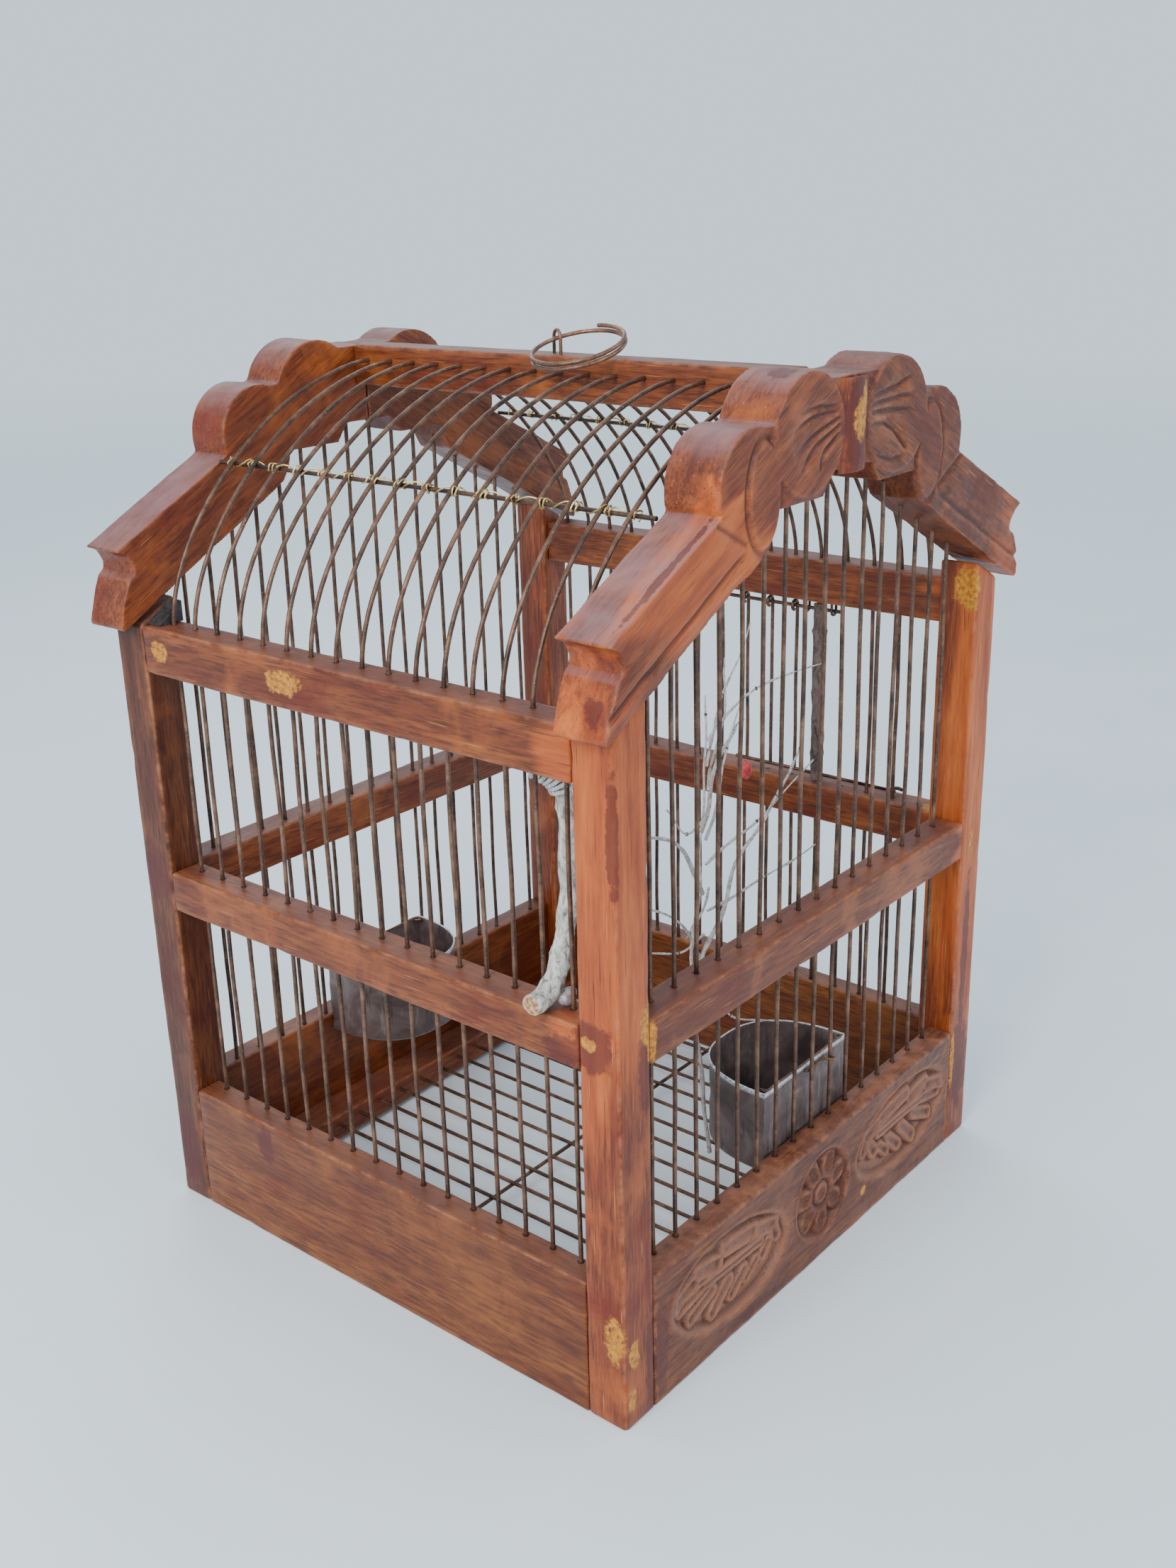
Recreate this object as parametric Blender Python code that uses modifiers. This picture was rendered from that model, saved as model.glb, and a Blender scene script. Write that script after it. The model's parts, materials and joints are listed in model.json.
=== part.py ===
"""Wooden songbird cage with wire walls, an arched wire roof between two carved gables, and a top-hung door.

Metres, +Z up, the carved gable faces -Y. The origin is the centre of the underside.
"""

import math

import bmesh
import bpy
from mathutils import Matrix, Vector

# Frame
WIDTH = 0.336
DEPTH = 0.330
POST = 0.0225
POST_TOP_OUTER = 0.3455
POST_TOP_INNER = 0.3575
BOARD_TOP = 0.074
BOARD_THICK = 0.015
RAIL_THICK = 0.019
MID_LOW, MID_TOP = 0.186, 0.208
MID_CENTRE = (MID_LOW + MID_TOP) / 2
EAVE_LOW, EAVE_TOP = 0.320, 0.345
RIDGE_HALF_WIDTH = 0.009
RIDGE_LOW, RIDGE_TOP = 0.449, 0.471
GAP = 0.0003
EDGE = 0.0007

# Wires
WIRE = 0.00115
WIRE_COUNT = 16
WIRE_PITCH = 0.0174
WIRE_INSET = 0.0115
HOLE = 0.0015
SOCKET = 0.008
WIRE_SIDES = 6
TIE = 0.001
SLOT = 0.0014
ROOF_STEPS_LOW, ROOF_STEPS_HIGH = 3, 4
ROD = 0.0012
ROD_HEIGHT = 0.0765
ROOF_POWER = 1.19
SPRING_HEIGHT = 0.463 - EAVE_TOP
PAST_ROD = 0.0135
RIDGE_TIE = 0.0045

# Gables
GABLE_FRONT = 0.169
GABLE_BACK = 0.1428
FAN_FRONT = 0.172
KEYSTONE_FRONT = 0.1745
KEYSTONE_HALF_WIDTH = 0.013

# Floor
LEDGE_DEPTH = 0.022
LEDGE_LOW, LEDGE_TOP = 0.003, 0.019
FLOOR_Z = 0.0125
CROSS_Y = 0.003

# Door in the right wall, hung from a rod under the eave rail. The numbers count wires from the front
MISSING_WIRE = 3
BAR_PLACE = 4
DOOR_WIRES = (5, 6, 7)
ROD_HOOK = 8
HINGE_Z = 0.3145
CURL = 0.0027
DOOR_WIRE = 0.0011
SILL_WIRE = 0.00125
SILL_HOLE = 0.0018
DOOR_BOTTOM = 0.2113
LATCH_REACH = -0.1135
BAR = 0.004
STAPLE_WIRE = 0.0008
STAPLE_HALF_WIDTH = 0.0024
STAPLE_YS = (-0.0520, -0.0700)

# Hanging ring
RING_RADIUS = 0.0235
RING_TURNS = 1.7
RING_RISE = 0.0027
EYE = Vector((0.0, 0.0013, 0.4787))
RING_OUT = Vector((-0.3935, -0.9105, -0.1272)).normalized()
RING_NORMAL = Vector((-0.2835, -0.0114, 0.9589)).normalized()
EYE_RADIUS = 0.004
EYE_WIRE = 0.0009

# Cups
CUP_WIDTH, CUP_DEPTH, CUP_HEIGHT = 0.080, 0.053, 0.047
CUP_WALL = 0.001
CUP_BASE = 0.064
CUP_STEPS = 12
CUP_SQUARENESS = 0.8
FRONT_CUP_X, BACK_CUP_X = 0.009, -0.020
CUP_HOOK_OFFSET = 0.017
HOOK_WIRE = 0.0008
HOOK_LOOP = 0.0028
HOOK_RUN = 0.0180
HOOK_DROP = 0.0040

half_width = WIDTH / 2
half_depth = DEPTH / 2
wire_x = half_width - WIRE_INSET
wire_y = half_depth - WIRE_INSET
CUP_FLAT = half_depth - BOARD_THICK - 0.0004
lattice = [(k - (WIRE_COUNT - 1) / 2) * WIRE_PITCH for k in range(WIRE_COUNT)]


def clear_scene():
    for obj in list(bpy.data.objects):
        bpy.data.objects.remove(obj)


def new_collection(name):
    found = bpy.data.collections.new(name)
    bpy.context.scene.collection.children.link(found)
    return found


def new_material(name, colour, roughness, metallic=0.0):
    made = bpy.data.materials.new(name)
    made.use_nodes = True
    shader = made.node_tree.nodes["Principled BSDF"]
    shader.inputs["Base Color"].default_value = (*colour, 1.0)
    shader.inputs["Roughness"].default_value = roughness
    shader.inputs["Metallic"].default_value = metallic
    return made


def place(name, data, material=None):
    """An object in the parts collection, or in the cutters when it has no material."""
    obj = bpy.data.objects.new(name, data)
    if material is None:
        cutters.objects.link(obj)
        obj.hide_render = True
        obj.display_type = "WIRE"
    else:
        parts.objects.link(obj)
        data.materials.append(material)
    return obj


def mesh_of(shape, name):
    mesh = bpy.data.meshes.new(name)
    shape.to_mesh(mesh)
    shape.free()
    return mesh


def add_box(shape, low, high):
    low, high = Vector(low), Vector(high)
    size = high - low
    matrix = Matrix.Translation((low + high) / 2) @ Matrix.Diagonal((*size, 1.0))
    return bmesh.ops.create_cube(shape, size=1.0, matrix=matrix)["verts"]


def add_rod(shape, start, end, radius, sides=WIRE_SIDES):
    start, end = Vector(start), Vector(end)
    turn = (end - start).to_track_quat("Z", "Y").to_matrix().to_4x4()
    matrix = Matrix.Translation((start + end) / 2) @ turn
    bmesh.ops.create_cone(
        shape,
        cap_ends=True,
        segments=sides,
        radius1=radius,
        radius2=radius,
        depth=(end - start).length,
        matrix=matrix,
    )


def soften(obj, width=EDGE):
    bevel = obj.modifiers.new("Bevel", "BEVEL")
    bevel.width = width
    bevel.segments = 1
    bevel.limit_method = "ANGLE"
    bevel.angle_limit = math.radians(50)


def combine(obj, other, operation):
    """Cut another object out of this one, or join it on, with an exact Boolean."""
    joint = obj.modifiers.new(operation.title(), "BOOLEAN")
    joint.operation = operation
    joint.solver = "EXACT"
    joint.object = other
    return obj


def beam(name, low, high, material, edge=EDGE):
    shape = bmesh.new()
    add_box(shape, low, high)
    obj = place(name, mesh_of(shape, name), material)
    soften(obj, edge)
    return obj


def drill(obj, holes, radius=HOLE, slots=()):
    """Drill straight blind or through holes, and mill any hidden slots that join them."""
    shape = bmesh.new()
    for start, end in holes:
        add_rod(shape, start, end, radius)
    cutter = place(obj.name + "_holes", mesh_of(shape, "holes"))
    combine(obj, cutter, "DIFFERENCE")
    for low, high in slots:
        shape = bmesh.new()
        add_box(shape, low, high)
        combine(obj, place(obj.name + "_slot", mesh_of(shape, "slot")), "DIFFERENCE")


def tube(name, routes, radius, material=None, resolution=2, cyclic=False):
    """A round wire or stick as a curve along each route, with filled caps."""
    data = bpy.data.curves.new(name, "CURVE")
    data.dimensions = "3D"
    data.bevel_depth = radius
    data.bevel_resolution = resolution
    data.use_fill_caps = True
    for route in routes:
        spline = data.splines.new("POLY")
        spline.points.add(len(route) - 1)
        for point, place_at in zip(spline.points, route):
            point.co = (*place_at, 1.0)
        spline.use_cyclic_u = cyclic
    return place(name, data, material)


def as_mesh(curve, material=None):
    """The same shape as a welded mesh, which can be cut and joined."""
    name, matrix = curve.name, curve.matrix_world.copy()
    graph = bpy.context.evaluated_depsgraph_get()
    mesh = bpy.data.meshes.new_from_object(curve.evaluated_get(graph))
    bpy.data.objects.remove(curve)
    shape = bmesh.new()
    shape.from_mesh(mesh)
    bmesh.ops.remove_doubles(shape, verts=shape.verts, dist=1e-6)
    shape.to_mesh(mesh)
    shape.free()
    mesh.materials.clear()
    obj = place(name, mesh, material)
    obj.matrix_world = matrix
    return obj


def arc(centre, radius, start, end, steps):
    """Points on an arc in the plane of an outline, angles in degrees."""
    turn = [math.radians(start + (end - start) * k / steps) for k in range(steps + 1)]
    return [(centre[0] + radius * math.cos(a), centre[1] + radius * math.sin(a)) for a in turn]


def plate(name, outline, front, back, material=None):
    """An outline in X and Z, given thickness from y = front to y = back."""
    data = bpy.data.curves.new(name, "CURVE")
    data.dimensions = "2D"
    data.fill_mode = "BOTH"
    data.extrude = abs(back - front) / 2
    spline = data.splines.new("POLY")
    spline.points.add(len(outline) - 1)
    for point, (x, z) in zip(spline.points, outline):
        point.co = (x, z, 0.0, 1.0)
    spline.use_cyclic_u = True
    curve = place(name, data)
    curve.matrix_world = Matrix.Translation((0, (front + back) / 2, 0)) @ Matrix.Rotation(math.pi / 2, 4, "X")
    bpy.context.view_layer.update()
    return as_mesh(curve, material)


def smooth(obj, angle=40):
    obj.data.shade_smooth()
    obj.data.set_sharp_from_angle(angle=math.radians(angle))


# The gable's outline, for x >= 0

TIP = (0.1775, 0.3845)
NOTCH = (0.1675, 0.3755)
DROP_END = (0.1795, 0.3455)
UNDER_OUTER = (0.1775, 0.3435)
UNDER_INNER = (0.0650, 0.4035)
FAN_CENTRE, FAN_RADIUS = (0.0365, 0.4465), 0.0290
LOBE_CENTRE, LOBE_RADIUS = (0.0780, 0.4305), 0.0260


def underside(x):
    """Height of the gable's lower edge above the wall at this x."""
    x = abs(x)
    if x < 0.017:
        return 0.4285
    if x < 0.0605:
        return 0.4190
    share = (x - UNDER_INNER[0]) / (UNDER_OUTER[0] - UNDER_INNER[0])
    return UNDER_INNER[1] + share * (UNDER_OUTER[1] - UNDER_INNER[1])


def gable_outline():
    top = [(GAP / 2, 0.4705), (0.0160, 0.4700)]
    fan = arc(FAN_CENTRE, FAN_RADIUS, 125, 18, 7)
    lobe = arc(LOBE_CENTRE, LOBE_RADIUS, 108, -18, 7)
    end = [TIP, (0.1710, 0.3815), NOTCH, (0.1680, 0.3715), (0.1715, 0.3690), (0.1765, 0.3570), DROP_END]
    under = [UNDER_OUTER, UNDER_INNER, (0.0605, 0.4110), (0.0590, 0.4190), (0.0240, 0.4190)]
    middle = [(0.0170, 0.4285), (GAP / 2, 0.4285)]
    return top + fan + lobe + end + under + middle


def fan_outline():
    """The carved fan's disc, cut straight beside the keystone."""
    radius = FAN_RADIUS - 0.0015
    edge = KEYSTONE_HALF_WIDTH + 0.0008
    reach = math.degrees(math.acos((edge - FAN_CENTRE[0]) / radius))
    return arc(FAN_CENTRE, radius, reach, -60, 10) + [(edge, FAN_CENTRE[1] - radius + 0.0035)]


def gable_half(name, side, facing):
    """One raked half board. side is -1 or 1 along X, facing is -1 for the front and 1 for the back."""
    outline = [(side * x, z) for x, z in gable_outline()]
    half = plate(name, outline, facing * GABLE_FRONT, facing * GABLE_BACK, painted_oak)
    holes = []
    for x in lattice:
        if x * side > 0:
            low = underside(x)
            holes.append(((x, facing * wire_y, low - 0.002), (x, facing * wire_y, low + SOCKET)))
    if facing < 0:
        disc = [(side * x, z) for x, z in fan_outline()]
        cover = plate(name + "_fan", disc, -FAN_FRONT, -GABLE_FRONT + 0.002)
        combine(half, cover, "UNION")
    drill(half, holes)
    return half


def build_gables():
    for facing, end in ((-1, "front"), (1, "back")):
        for side, hand in ((-1, "left"), (1, "right")):
            gable_half(f"gable_{end}_{hand}", side, facing)
        outline = [(-KEYSTONE_HALF_WIDTH, 0.4265), (-KEYSTONE_HALF_WIDTH, 0.4690)]
        outline += [(KEYSTONE_HALF_WIDTH, 0.4690), (KEYSTONE_HALF_WIDTH, 0.4265)]
        behind = facing * (GABLE_FRONT + GAP)
        key = plate(f"keystone_{end}", outline, facing * KEYSTONE_FRONT, behind, painted_oak)
        soften(key, 0.0018)
    # The block that stiffens the joint of eave rail and back gable
    outline = [(-0.1640, EAVE_TOP + GAP), (-0.1490, EAVE_TOP + GAP), (-0.1490, 0.3560)]
    plate("corner_block", outline, 0.1325, GABLE_BACK - GAP, dark_wood)


def build_posts():
    for y_side, end in ((-1, "front"), (1, "back")):
        for x_side, hand in ((-1, "left"), (1, "right")):
            outer, inner = x_side * half_width, x_side * (half_width - POST)
            tops = [(inner, POST_TOP_INNER - GAP), (outer, POST_TOP_OUTER - GAP)]
            outline = [(outer, 0.0), (inner, 0.0), *tops]
            post = plate(
                f"post_{end}_{hand}", outline, y_side * half_depth, y_side * (half_depth - POST), painted_oak
            )
            soften(post, 0.0012)


def wall_holes(y_side, low, high):
    return [((x, y_side * wire_y, low), (x, y_side * wire_y, high)) for x in lattice]


def side_holes(x_side, low, high, skip=()):
    x = x_side * wire_x
    return [((x, y, low), (x, y, high)) for k, y in enumerate(lattice) if k not in skip]


def tie_slot(first, last, fixed, along_x, height, reach, grow):
    """Corners of the box that holds a panel's hidden tie, or of the tie itself."""
    low = [first - reach, fixed - grow, height - grow]
    high = [last + reach, fixed + grow, height + grow]
    if not along_x:
        low[0], low[1] = low[1], low[0]
        high[0], high[1] = high[1], high[0]
    return low, high


def build_front_and_back():
    span = half_width - POST - GAP
    for y_side, end in ((-1, "front"), (1, "back")):
        outer = y_side * half_depth
        board_in = y_side * (half_depth - BOARD_THICK)
        rail_in = y_side * (half_depth - RAIL_THICK)
        y_low, y_high = sorted((outer, board_in))
        board = beam(f"base_board_{end}", (-span, y_low, 0), (span, y_high, BOARD_TOP), painted_oak)
        drill(board, wall_holes(y_side, BOARD_TOP - SOCKET, BOARD_TOP + 0.002))
        y_low, y_high = sorted((outer, rail_in))
        rail = beam(f"mid_rail_{end}", (-span, y_low, MID_LOW), (span, y_high, MID_TOP), painted_oak)
        slot = tie_slot(lattice[0], lattice[-1], y_side * wire_y, True, MID_CENTRE, 0.0, SLOT)
        drill(rail, wall_holes(y_side, MID_LOW - 0.002, MID_TOP + 0.002), slots=[slot])


def build_left_and_right():
    span = half_depth - POST - GAP
    for x_side, hand in ((-1, "left"), (1, "right")):
        outer = x_side * half_width
        board_in = x_side * (half_width - BOARD_THICK)
        rail_in = x_side * (half_width - RAIL_THICK)
        x_low, x_high = sorted((outer, board_in))
        board = beam(f"base_board_{hand}", (x_low, -span, 0), (x_high, span, BOARD_TOP), painted_oak)
        drill(board, side_holes(x_side, BOARD_TOP - SOCKET, BOARD_TOP + 0.002))
        x_low, x_high = sorted((outer, rail_in))
        rail = beam(f"mid_rail_{hand}", (x_low, -span, MID_LOW), (x_high, span, MID_TOP), painted_oak)
        slot = tie_slot(lattice[0], lattice[-1], x_side * wire_x, False, MID_CENTRE, 0.0, SLOT)
        drill(rail, side_holes(x_side, MID_LOW - 0.002, MID_TOP + 0.002), slots=[slot])
        eave = beam(f"eave_rail_{hand}", (x_low, -span, EAVE_LOW), (x_high, span, EAVE_TOP), painted_oak)
        holes = side_holes(x_side, EAVE_LOW - 0.002, EAVE_TOP + 0.002)
        if x_side > 0:
            holes += [leg for y in STAPLE_YS for leg in staple_legs(y)]
        drill(eave, holes)


def build_ridge():
    span = GABLE_BACK - GAP
    ridge = beam(
        "ridge_beam",
        (-RIDGE_HALF_WIDTH, -span, RIDGE_LOW),
        (RIDGE_HALF_WIDTH, span, RIDGE_TOP),
        painted_oak,
    )
    height = EAVE_TOP + SPRING_HEIGHT
    holes = [((-0.011, y, height), (0.011, y, height)) for y in lattice]
    slots = [tie_slot(lattice[0], lattice[-1], x, False, height, 0.0, SLOT) for x in (-RIDGE_TIE, RIDGE_TIE)]
    drill(ridge, holes, slots=slots)
    feet = [EYE + sign * EYE_RADIUS * eye_across() for sign in (-1, 1)]
    shafts = [((foot.x, foot.y, RIDGE_TOP - 0.006), (foot.x, foot.y, RIDGE_TOP + 0.002)) for foot in feet]
    drill(ridge, shafts, radius=EYE_WIRE + 0.0004)


def wire_panel(name, wires, tie):
    """Straight wires as one piece, joined by the tie that runs hidden in the middle rail."""
    shape = bmesh.new()
    for start, end in wires:
        add_rod(shape, start, end, WIRE)
    panel = place(name, mesh_of(shape, name), rusty_wire)
    shape = bmesh.new()
    add_box(shape, *tie)
    combine(panel, place(name + "_tie", mesh_of(shape, "tie")), "UNION")
    return panel


def side_panel(name, x, numbers, start, top):
    wires = [((x, lattice[k], start), (x, lattice[k], top)) for k in numbers]
    tie = tie_slot(lattice[numbers[0]], lattice[numbers[-1]], x, False, MID_CENTRE, 0.0, TIE)
    return wire_panel(name, wires, tie)


def build_wall_wires():
    start = BOARD_TOP - SOCKET + GAP
    for y_side, end in ((-1, "front"), (1, "back")):
        y = y_side * wire_y
        wires = [((x, y, start), (x, y, underside(x) + SOCKET - 0.0005)) for x in lattice]
        wire_panel(f"wires_{end}", wires, tie_slot(lattice[0], lattice[-1], y, True, MID_CENTRE, 0.0, TIE))
    top = (EAVE_LOW + EAVE_TOP) / 2 - GAP / 2
    side_panel("wires_left", -wire_x, range(WIRE_COUNT), start, top)
    side_panel("wires_right_front", wire_x, range(MISSING_WIRE), start, top)
    side_panel("wires_right_back", wire_x, range(ROD_HOOK, WIRE_COUNT), start, top)
    side_panel("wires_right_low", wire_x, range(MISSING_WIRE, ROD_HOOK), start, MID_TOP - 0.001)


def roof_point(side, share):
    """A point of the roof's arch, a flattened quarter ellipse, from the eave at 0 to the ridge at 1."""
    turn = share * math.pi / 2
    across = max(math.cos(turn), 0.0) ** ROOF_POWER
    upward = math.sin(turn) ** ROOF_POWER
    reach = wire_x - RIDGE_HALF_WIDTH
    return side * (RIDGE_HALF_WIDTH + reach * across), EAVE_TOP + SPRING_HEIGHT * upward


def roof_arch(side, first, last, steps):
    return [roof_point(side, first + (last - first) * k / steps) for k in range(steps + 1)]


def build_roof():
    """Each slope is a lower panel, bound to a long rod, and an upper one, tied inside the ridge beam."""
    inside = (EAVE_LOW + EAVE_TOP) / 2 + GAP / 2
    spring = EAVE_TOP + SPRING_HEIGHT
    rod_share = math.asin((ROD_HEIGHT / SPRING_HEIGHT) ** (1 / ROOF_POWER)) / (math.pi / 2)
    split = rod_share + PAST_ROD
    for side, hand in ((-1, "left"), (1, "right")):
        low_routes = []
        high_routes = []
        for k, y in enumerate(lattice):
            over_door = side > 0 and MISSING_WIRE <= k < ROD_HOOK
            foot = EAVE_LOW + GAP if over_door else inside
            arch = roof_arch(side, 0, split, ROOF_STEPS_LOW)
            low_routes.append([(side * wire_x, y, foot)] + [(x, y, z) for x, z in arch])
            arch = roof_arch(side, split + 0.0018, 1, ROOF_STEPS_HIGH)
            high_routes.append([(x, y, z) for x, z in arch] + [(side * GAP, y, spring)])
        low = as_mesh(tube(f"roof_wires_{hand}_low", low_routes, WIRE, resolution=1), rusty_wire)
        x, z = roof_point(side, rod_share)
        centre = Vector((x - side * 0.0009, 0, z - 0.0011))
        reach = Vector((0, GABLE_BACK - 0.0006, 0))
        shape = bmesh.new()
        add_rod(shape, centre - reach, centre + reach, ROD)
        combine(low, place(f"roof_rod_{hand}", mesh_of(shape, "rod")), "UNION")
        high = as_mesh(tube(f"roof_wires_{hand}_high", high_routes, WIRE, resolution=1), rusty_wire)
        shape = bmesh.new()
        add_box(shape, *tie_slot(lattice[0], lattice[-1], side * RIDGE_TIE, False, spring, 0.0, TIE))
        combine(high, place(f"roof_tie_{hand}", mesh_of(shape, "tie")), "UNION")


def build_floor():
    inner = half_depth - BOARD_THICK - GAP
    reach = half_width - POST - GAP
    for y_side, end in ((-1, "front"), (1, "back")):
        y_low, y_high = sorted((y_side * inner, y_side * (inner - LEDGE_DEPTH)))
        low = (-reach, y_low, LEDGE_LOW)
        high = (reach, y_high, LEDGE_TOP)
        ledge = beam(f"floor_ledge_{end}", low, high, painted_oak)
        face = y_side * (inner - LEDGE_DEPTH)
        holes = [((x, face - y_side * 0.002, FLOOR_Z), (x, face + y_side * SOCKET, FLOOR_Z)) for x in lattice]
        drill(ledge, holes)
    shape = bmesh.new()
    end_y = inner - LEDGE_DEPTH + SOCKET - 0.0005
    for x in lattice:
        add_rod(shape, (x, -end_y, FLOOR_Z), (x, end_y, FLOOR_Z), WIRE)
    grid = place("floor_grid", mesh_of(shape, "floor_grid"), rusty_wire)
    shape = bmesh.new()
    low = FLOOR_Z - WIRE - 0.0007
    add_rod(shape, (-reach + 0.006, CROSS_Y, low), (reach - 0.006, CROSS_Y, low), WIRE)
    combine(grid, place("floor_cross", mesh_of(shape, "cross")), "UNION")


def turned(centre, radius, start, end, steps, fixed, axis_y=True):
    """Points of an arc in space, in a plane across Y or across Z."""
    flat = arc(centre, radius, start, end, steps)
    return [(a, fixed, b) for a, b in flat] if axis_y else [(a, b, fixed) for a, b in flat]


def staple_legs(y):
    low = EAVE_LOW
    return [
        (
            (wire_x + sign * STAPLE_HALF_WIDTH, y, low - 0.002),
            (wire_x + sign * STAPLE_HALF_WIDTH, y, low + 0.006),
        )
        for sign in (-1, 1)
    ]


def build_door():
    # The rod that the door swings on, hooked round the next wall wire and held up by two staples
    hook = turned((wire_x, lattice[ROD_HOOK]), CURL, -80, 190, 8, HINGE_Z, axis_y=False)
    straight = [(wire_x, STAPLE_YS[1] - 0.005, HINGE_Z), (wire_x, lattice[ROD_HOOK] - 0.008, HINGE_Z)]
    tube("door_hinge_rod", [straight + hook], DOOR_WIRE, rusty_wire, resolution=1)
    for y, end in zip(STAPLE_YS, "ab"):
        top = EAVE_LOW + 0.0055
        bend = turned((wire_x, HINGE_Z), STAPLE_HALF_WIDTH, 180, 360, 6, y)
        legs = [(wire_x - STAPLE_HALF_WIDTH, y, top)] + bend + [(wire_x + STAPLE_HALF_WIDTH, y, top)]
        tube(f"door_staple_{end}", [legs], STAPLE_WIRE, rusty_wire, resolution=1)
    # The wires that hang from it, each with its end curled over the rod
    plane = wire_x + CURL
    curls = []
    for k in DOOR_WIRES:
        curl = turned((wire_x, HINGE_Z), CURL, 0, 250, 8, lattice[k])
        curls.append([(plane, lattice[k], DOOR_BOTTOM)] + curl)
    hanging = as_mesh(tube("door_wires", curls, DOOR_WIRE, resolution=1), rusty_wire)
    knob = turned((plane + 0.0028, LATCH_REACH), 0.0028, 180, -60, 6, DOOR_BOTTOM, axis_y=False)
    bottom = [(plane, lattice[DOOR_WIRES[-1]] + 0.008, DOOR_BOTTOM)] + knob
    sill = as_mesh(tube("door_sill", [bottom], SILL_WIRE, resolution=1))
    combine(hanging, sill, "UNION")
    shape = bmesh.new()
    y = lattice[BAR_PLACE]
    add_rod(shape, (wire_x, y, DOOR_BOTTOM - 0.0020), (wire_x, y, HINGE_Z + 0.0030), BAR, sides=10)
    bar = place("door_bar", mesh_of(shape, "door_bar"), bark)
    reach = Vector((0, 0.006, 0))
    for x, z in ((wire_x, HINGE_Z), (plane, DOOR_BOTTOM)):
        middle = Vector((x, y, z))
        drill(bar, [(middle - reach, middle + reach)], radius=SILL_HOLE)


def eye_across():
    """The level direction across the eye, square to the ring's wire there."""
    along = RING_OUT.cross(RING_NORMAL)
    return Vector((along.y, -along.x, 0)).normalized()


def build_ring():
    across = eye_across()
    foot = RIDGE_TOP - 0.0055 - EYE.z
    lift = Vector((0, 0, 1))
    turns = [math.pi * k / 8 for k in range(9)]
    bend = [EYE + EYE_RADIUS * (math.cos(a) * across + math.sin(a) * lift) for a in turns]
    legs = [EYE + EYE_RADIUS * across + foot * lift] + bend + [EYE - EYE_RADIUS * across + foot * lift]
    tube("hanger_eye", [legs], EYE_WIRE, rusty_wire, resolution=1)
    along = RING_OUT.cross(RING_NORMAL)
    centre = EYE + RING_RADIUS * RING_OUT
    steps = 34
    route = []
    for k in range(steps + 1):
        turn = 2 * math.pi * RING_TURNS * (k / steps - 0.5)
        spoke = -math.cos(turn) * RING_OUT + math.sin(turn) * along
        rise = RING_RISE * turn / (2 * math.pi)
        route.append(centre + RING_RADIUS * spoke + rise * RING_NORMAL - EYE)
    ring = tube("hanging_ring", [route], DOOR_WIRE, rusty_wire, resolution=2)
    ring.location = EYE


def cup_outline(width, depth, start):
    """A D, flat at y = start and round towards +Y."""
    points = []
    for k in range(CUP_STEPS + 1):
        turn = math.pi * k / CUP_STEPS
        x = math.copysign(abs(math.cos(turn)) ** CUP_SQUARENESS, math.cos(turn)) * width / 2
        points.append((x, start + depth * math.sin(turn) ** CUP_SQUARENESS))
    return points


def prism(name, outline, low, high, material=None):
    """An outline in X and Y, raised from z = low to z = high."""
    shape = bmesh.new()
    face = shape.faces.new([shape.verts.new((x, y, low)) for x, y in outline])
    grown = bmesh.ops.extrude_face_region(shape, geom=[face])
    moved = [item for item in grown["geom"] if isinstance(item, bmesh.types.BMVert)]
    bmesh.ops.translate(shape, verts=moved, vec=(0, 0, high - low))
    bmesh.ops.recalc_face_normals(shape, faces=shape.faces)
    return place(name, mesh_of(shape, name), material)


def hook_route(x, side):
    """From inside the cup, out through its flat side and round the wall wire at x."""
    inward = -side
    flat = side * CUP_FLAT
    inside = flat + inward * (CUP_WALL + GAP + HOOK_WIRE)
    run = side * wire_y + inward * HOOK_LOOP
    start = x - inward * HOOK_RUN
    height = CUP_BASE + CUP_HEIGHT - HOOK_DROP
    route = [(start, inside, height - 0.009), (start, inside, height), (start, run, height)]
    for k in range(10):
        turn = math.radians(300 * k / 9)
        across = x + inward * HOOK_LOOP * math.sin(turn)
        out = side * wire_y + inward * HOOK_LOOP * math.cos(turn)
        route.append((across, out, height + 0.0022 * k / 9))
    return route


def cup(end, x, side):
    """A D-shaped tin cup with its flat side to the wall, and the hook that hangs it on a wall wire."""
    body = prism(f"cup_{end}", cup_outline(CUP_WIDTH, CUP_DEPTH, 0), 0, CUP_HEIGHT, zinc)
    wall = 2 * CUP_WALL
    inner = cup_outline(CUP_WIDTH - wall, CUP_DEPTH - wall, CUP_WALL)
    hollow = prism(f"cup_{end}_inside", inner, CUP_WALL, CUP_HEIGHT + 0.01)
    for obj in (body, hollow):
        obj.location = (x, side * CUP_FLAT, CUP_BASE)
        obj.rotation_euler = (0, 0, 0 if side < 0 else math.pi)
    combine(body, hollow, "DIFFERENCE")
    near = min(lattice, key=lambda wire: abs(wire - (x - side * CUP_HOOK_OFFSET)))
    route = hook_route(near, side)
    tube(f"cup_hook_{end}", [route], HOOK_WIRE, rusty_wire, resolution=1)
    hole_x, _, hole_z = route[1]
    shape = bmesh.new()
    reach = 0.004
    add_rod(
        shape,
        (hole_x, side * CUP_FLAT - reach, hole_z),
        (hole_x, side * CUP_FLAT + reach, hole_z),
        HOOK_WIRE + 0.0005,
    )
    combine(body, place(f"cup_{end}_hole", mesh_of(shape, "hole")), "DIFFERENCE")


def build_cups():
    cup("front", FRONT_CUP_X, -1)
    cup("back", BACK_CUP_X, 1)


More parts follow.
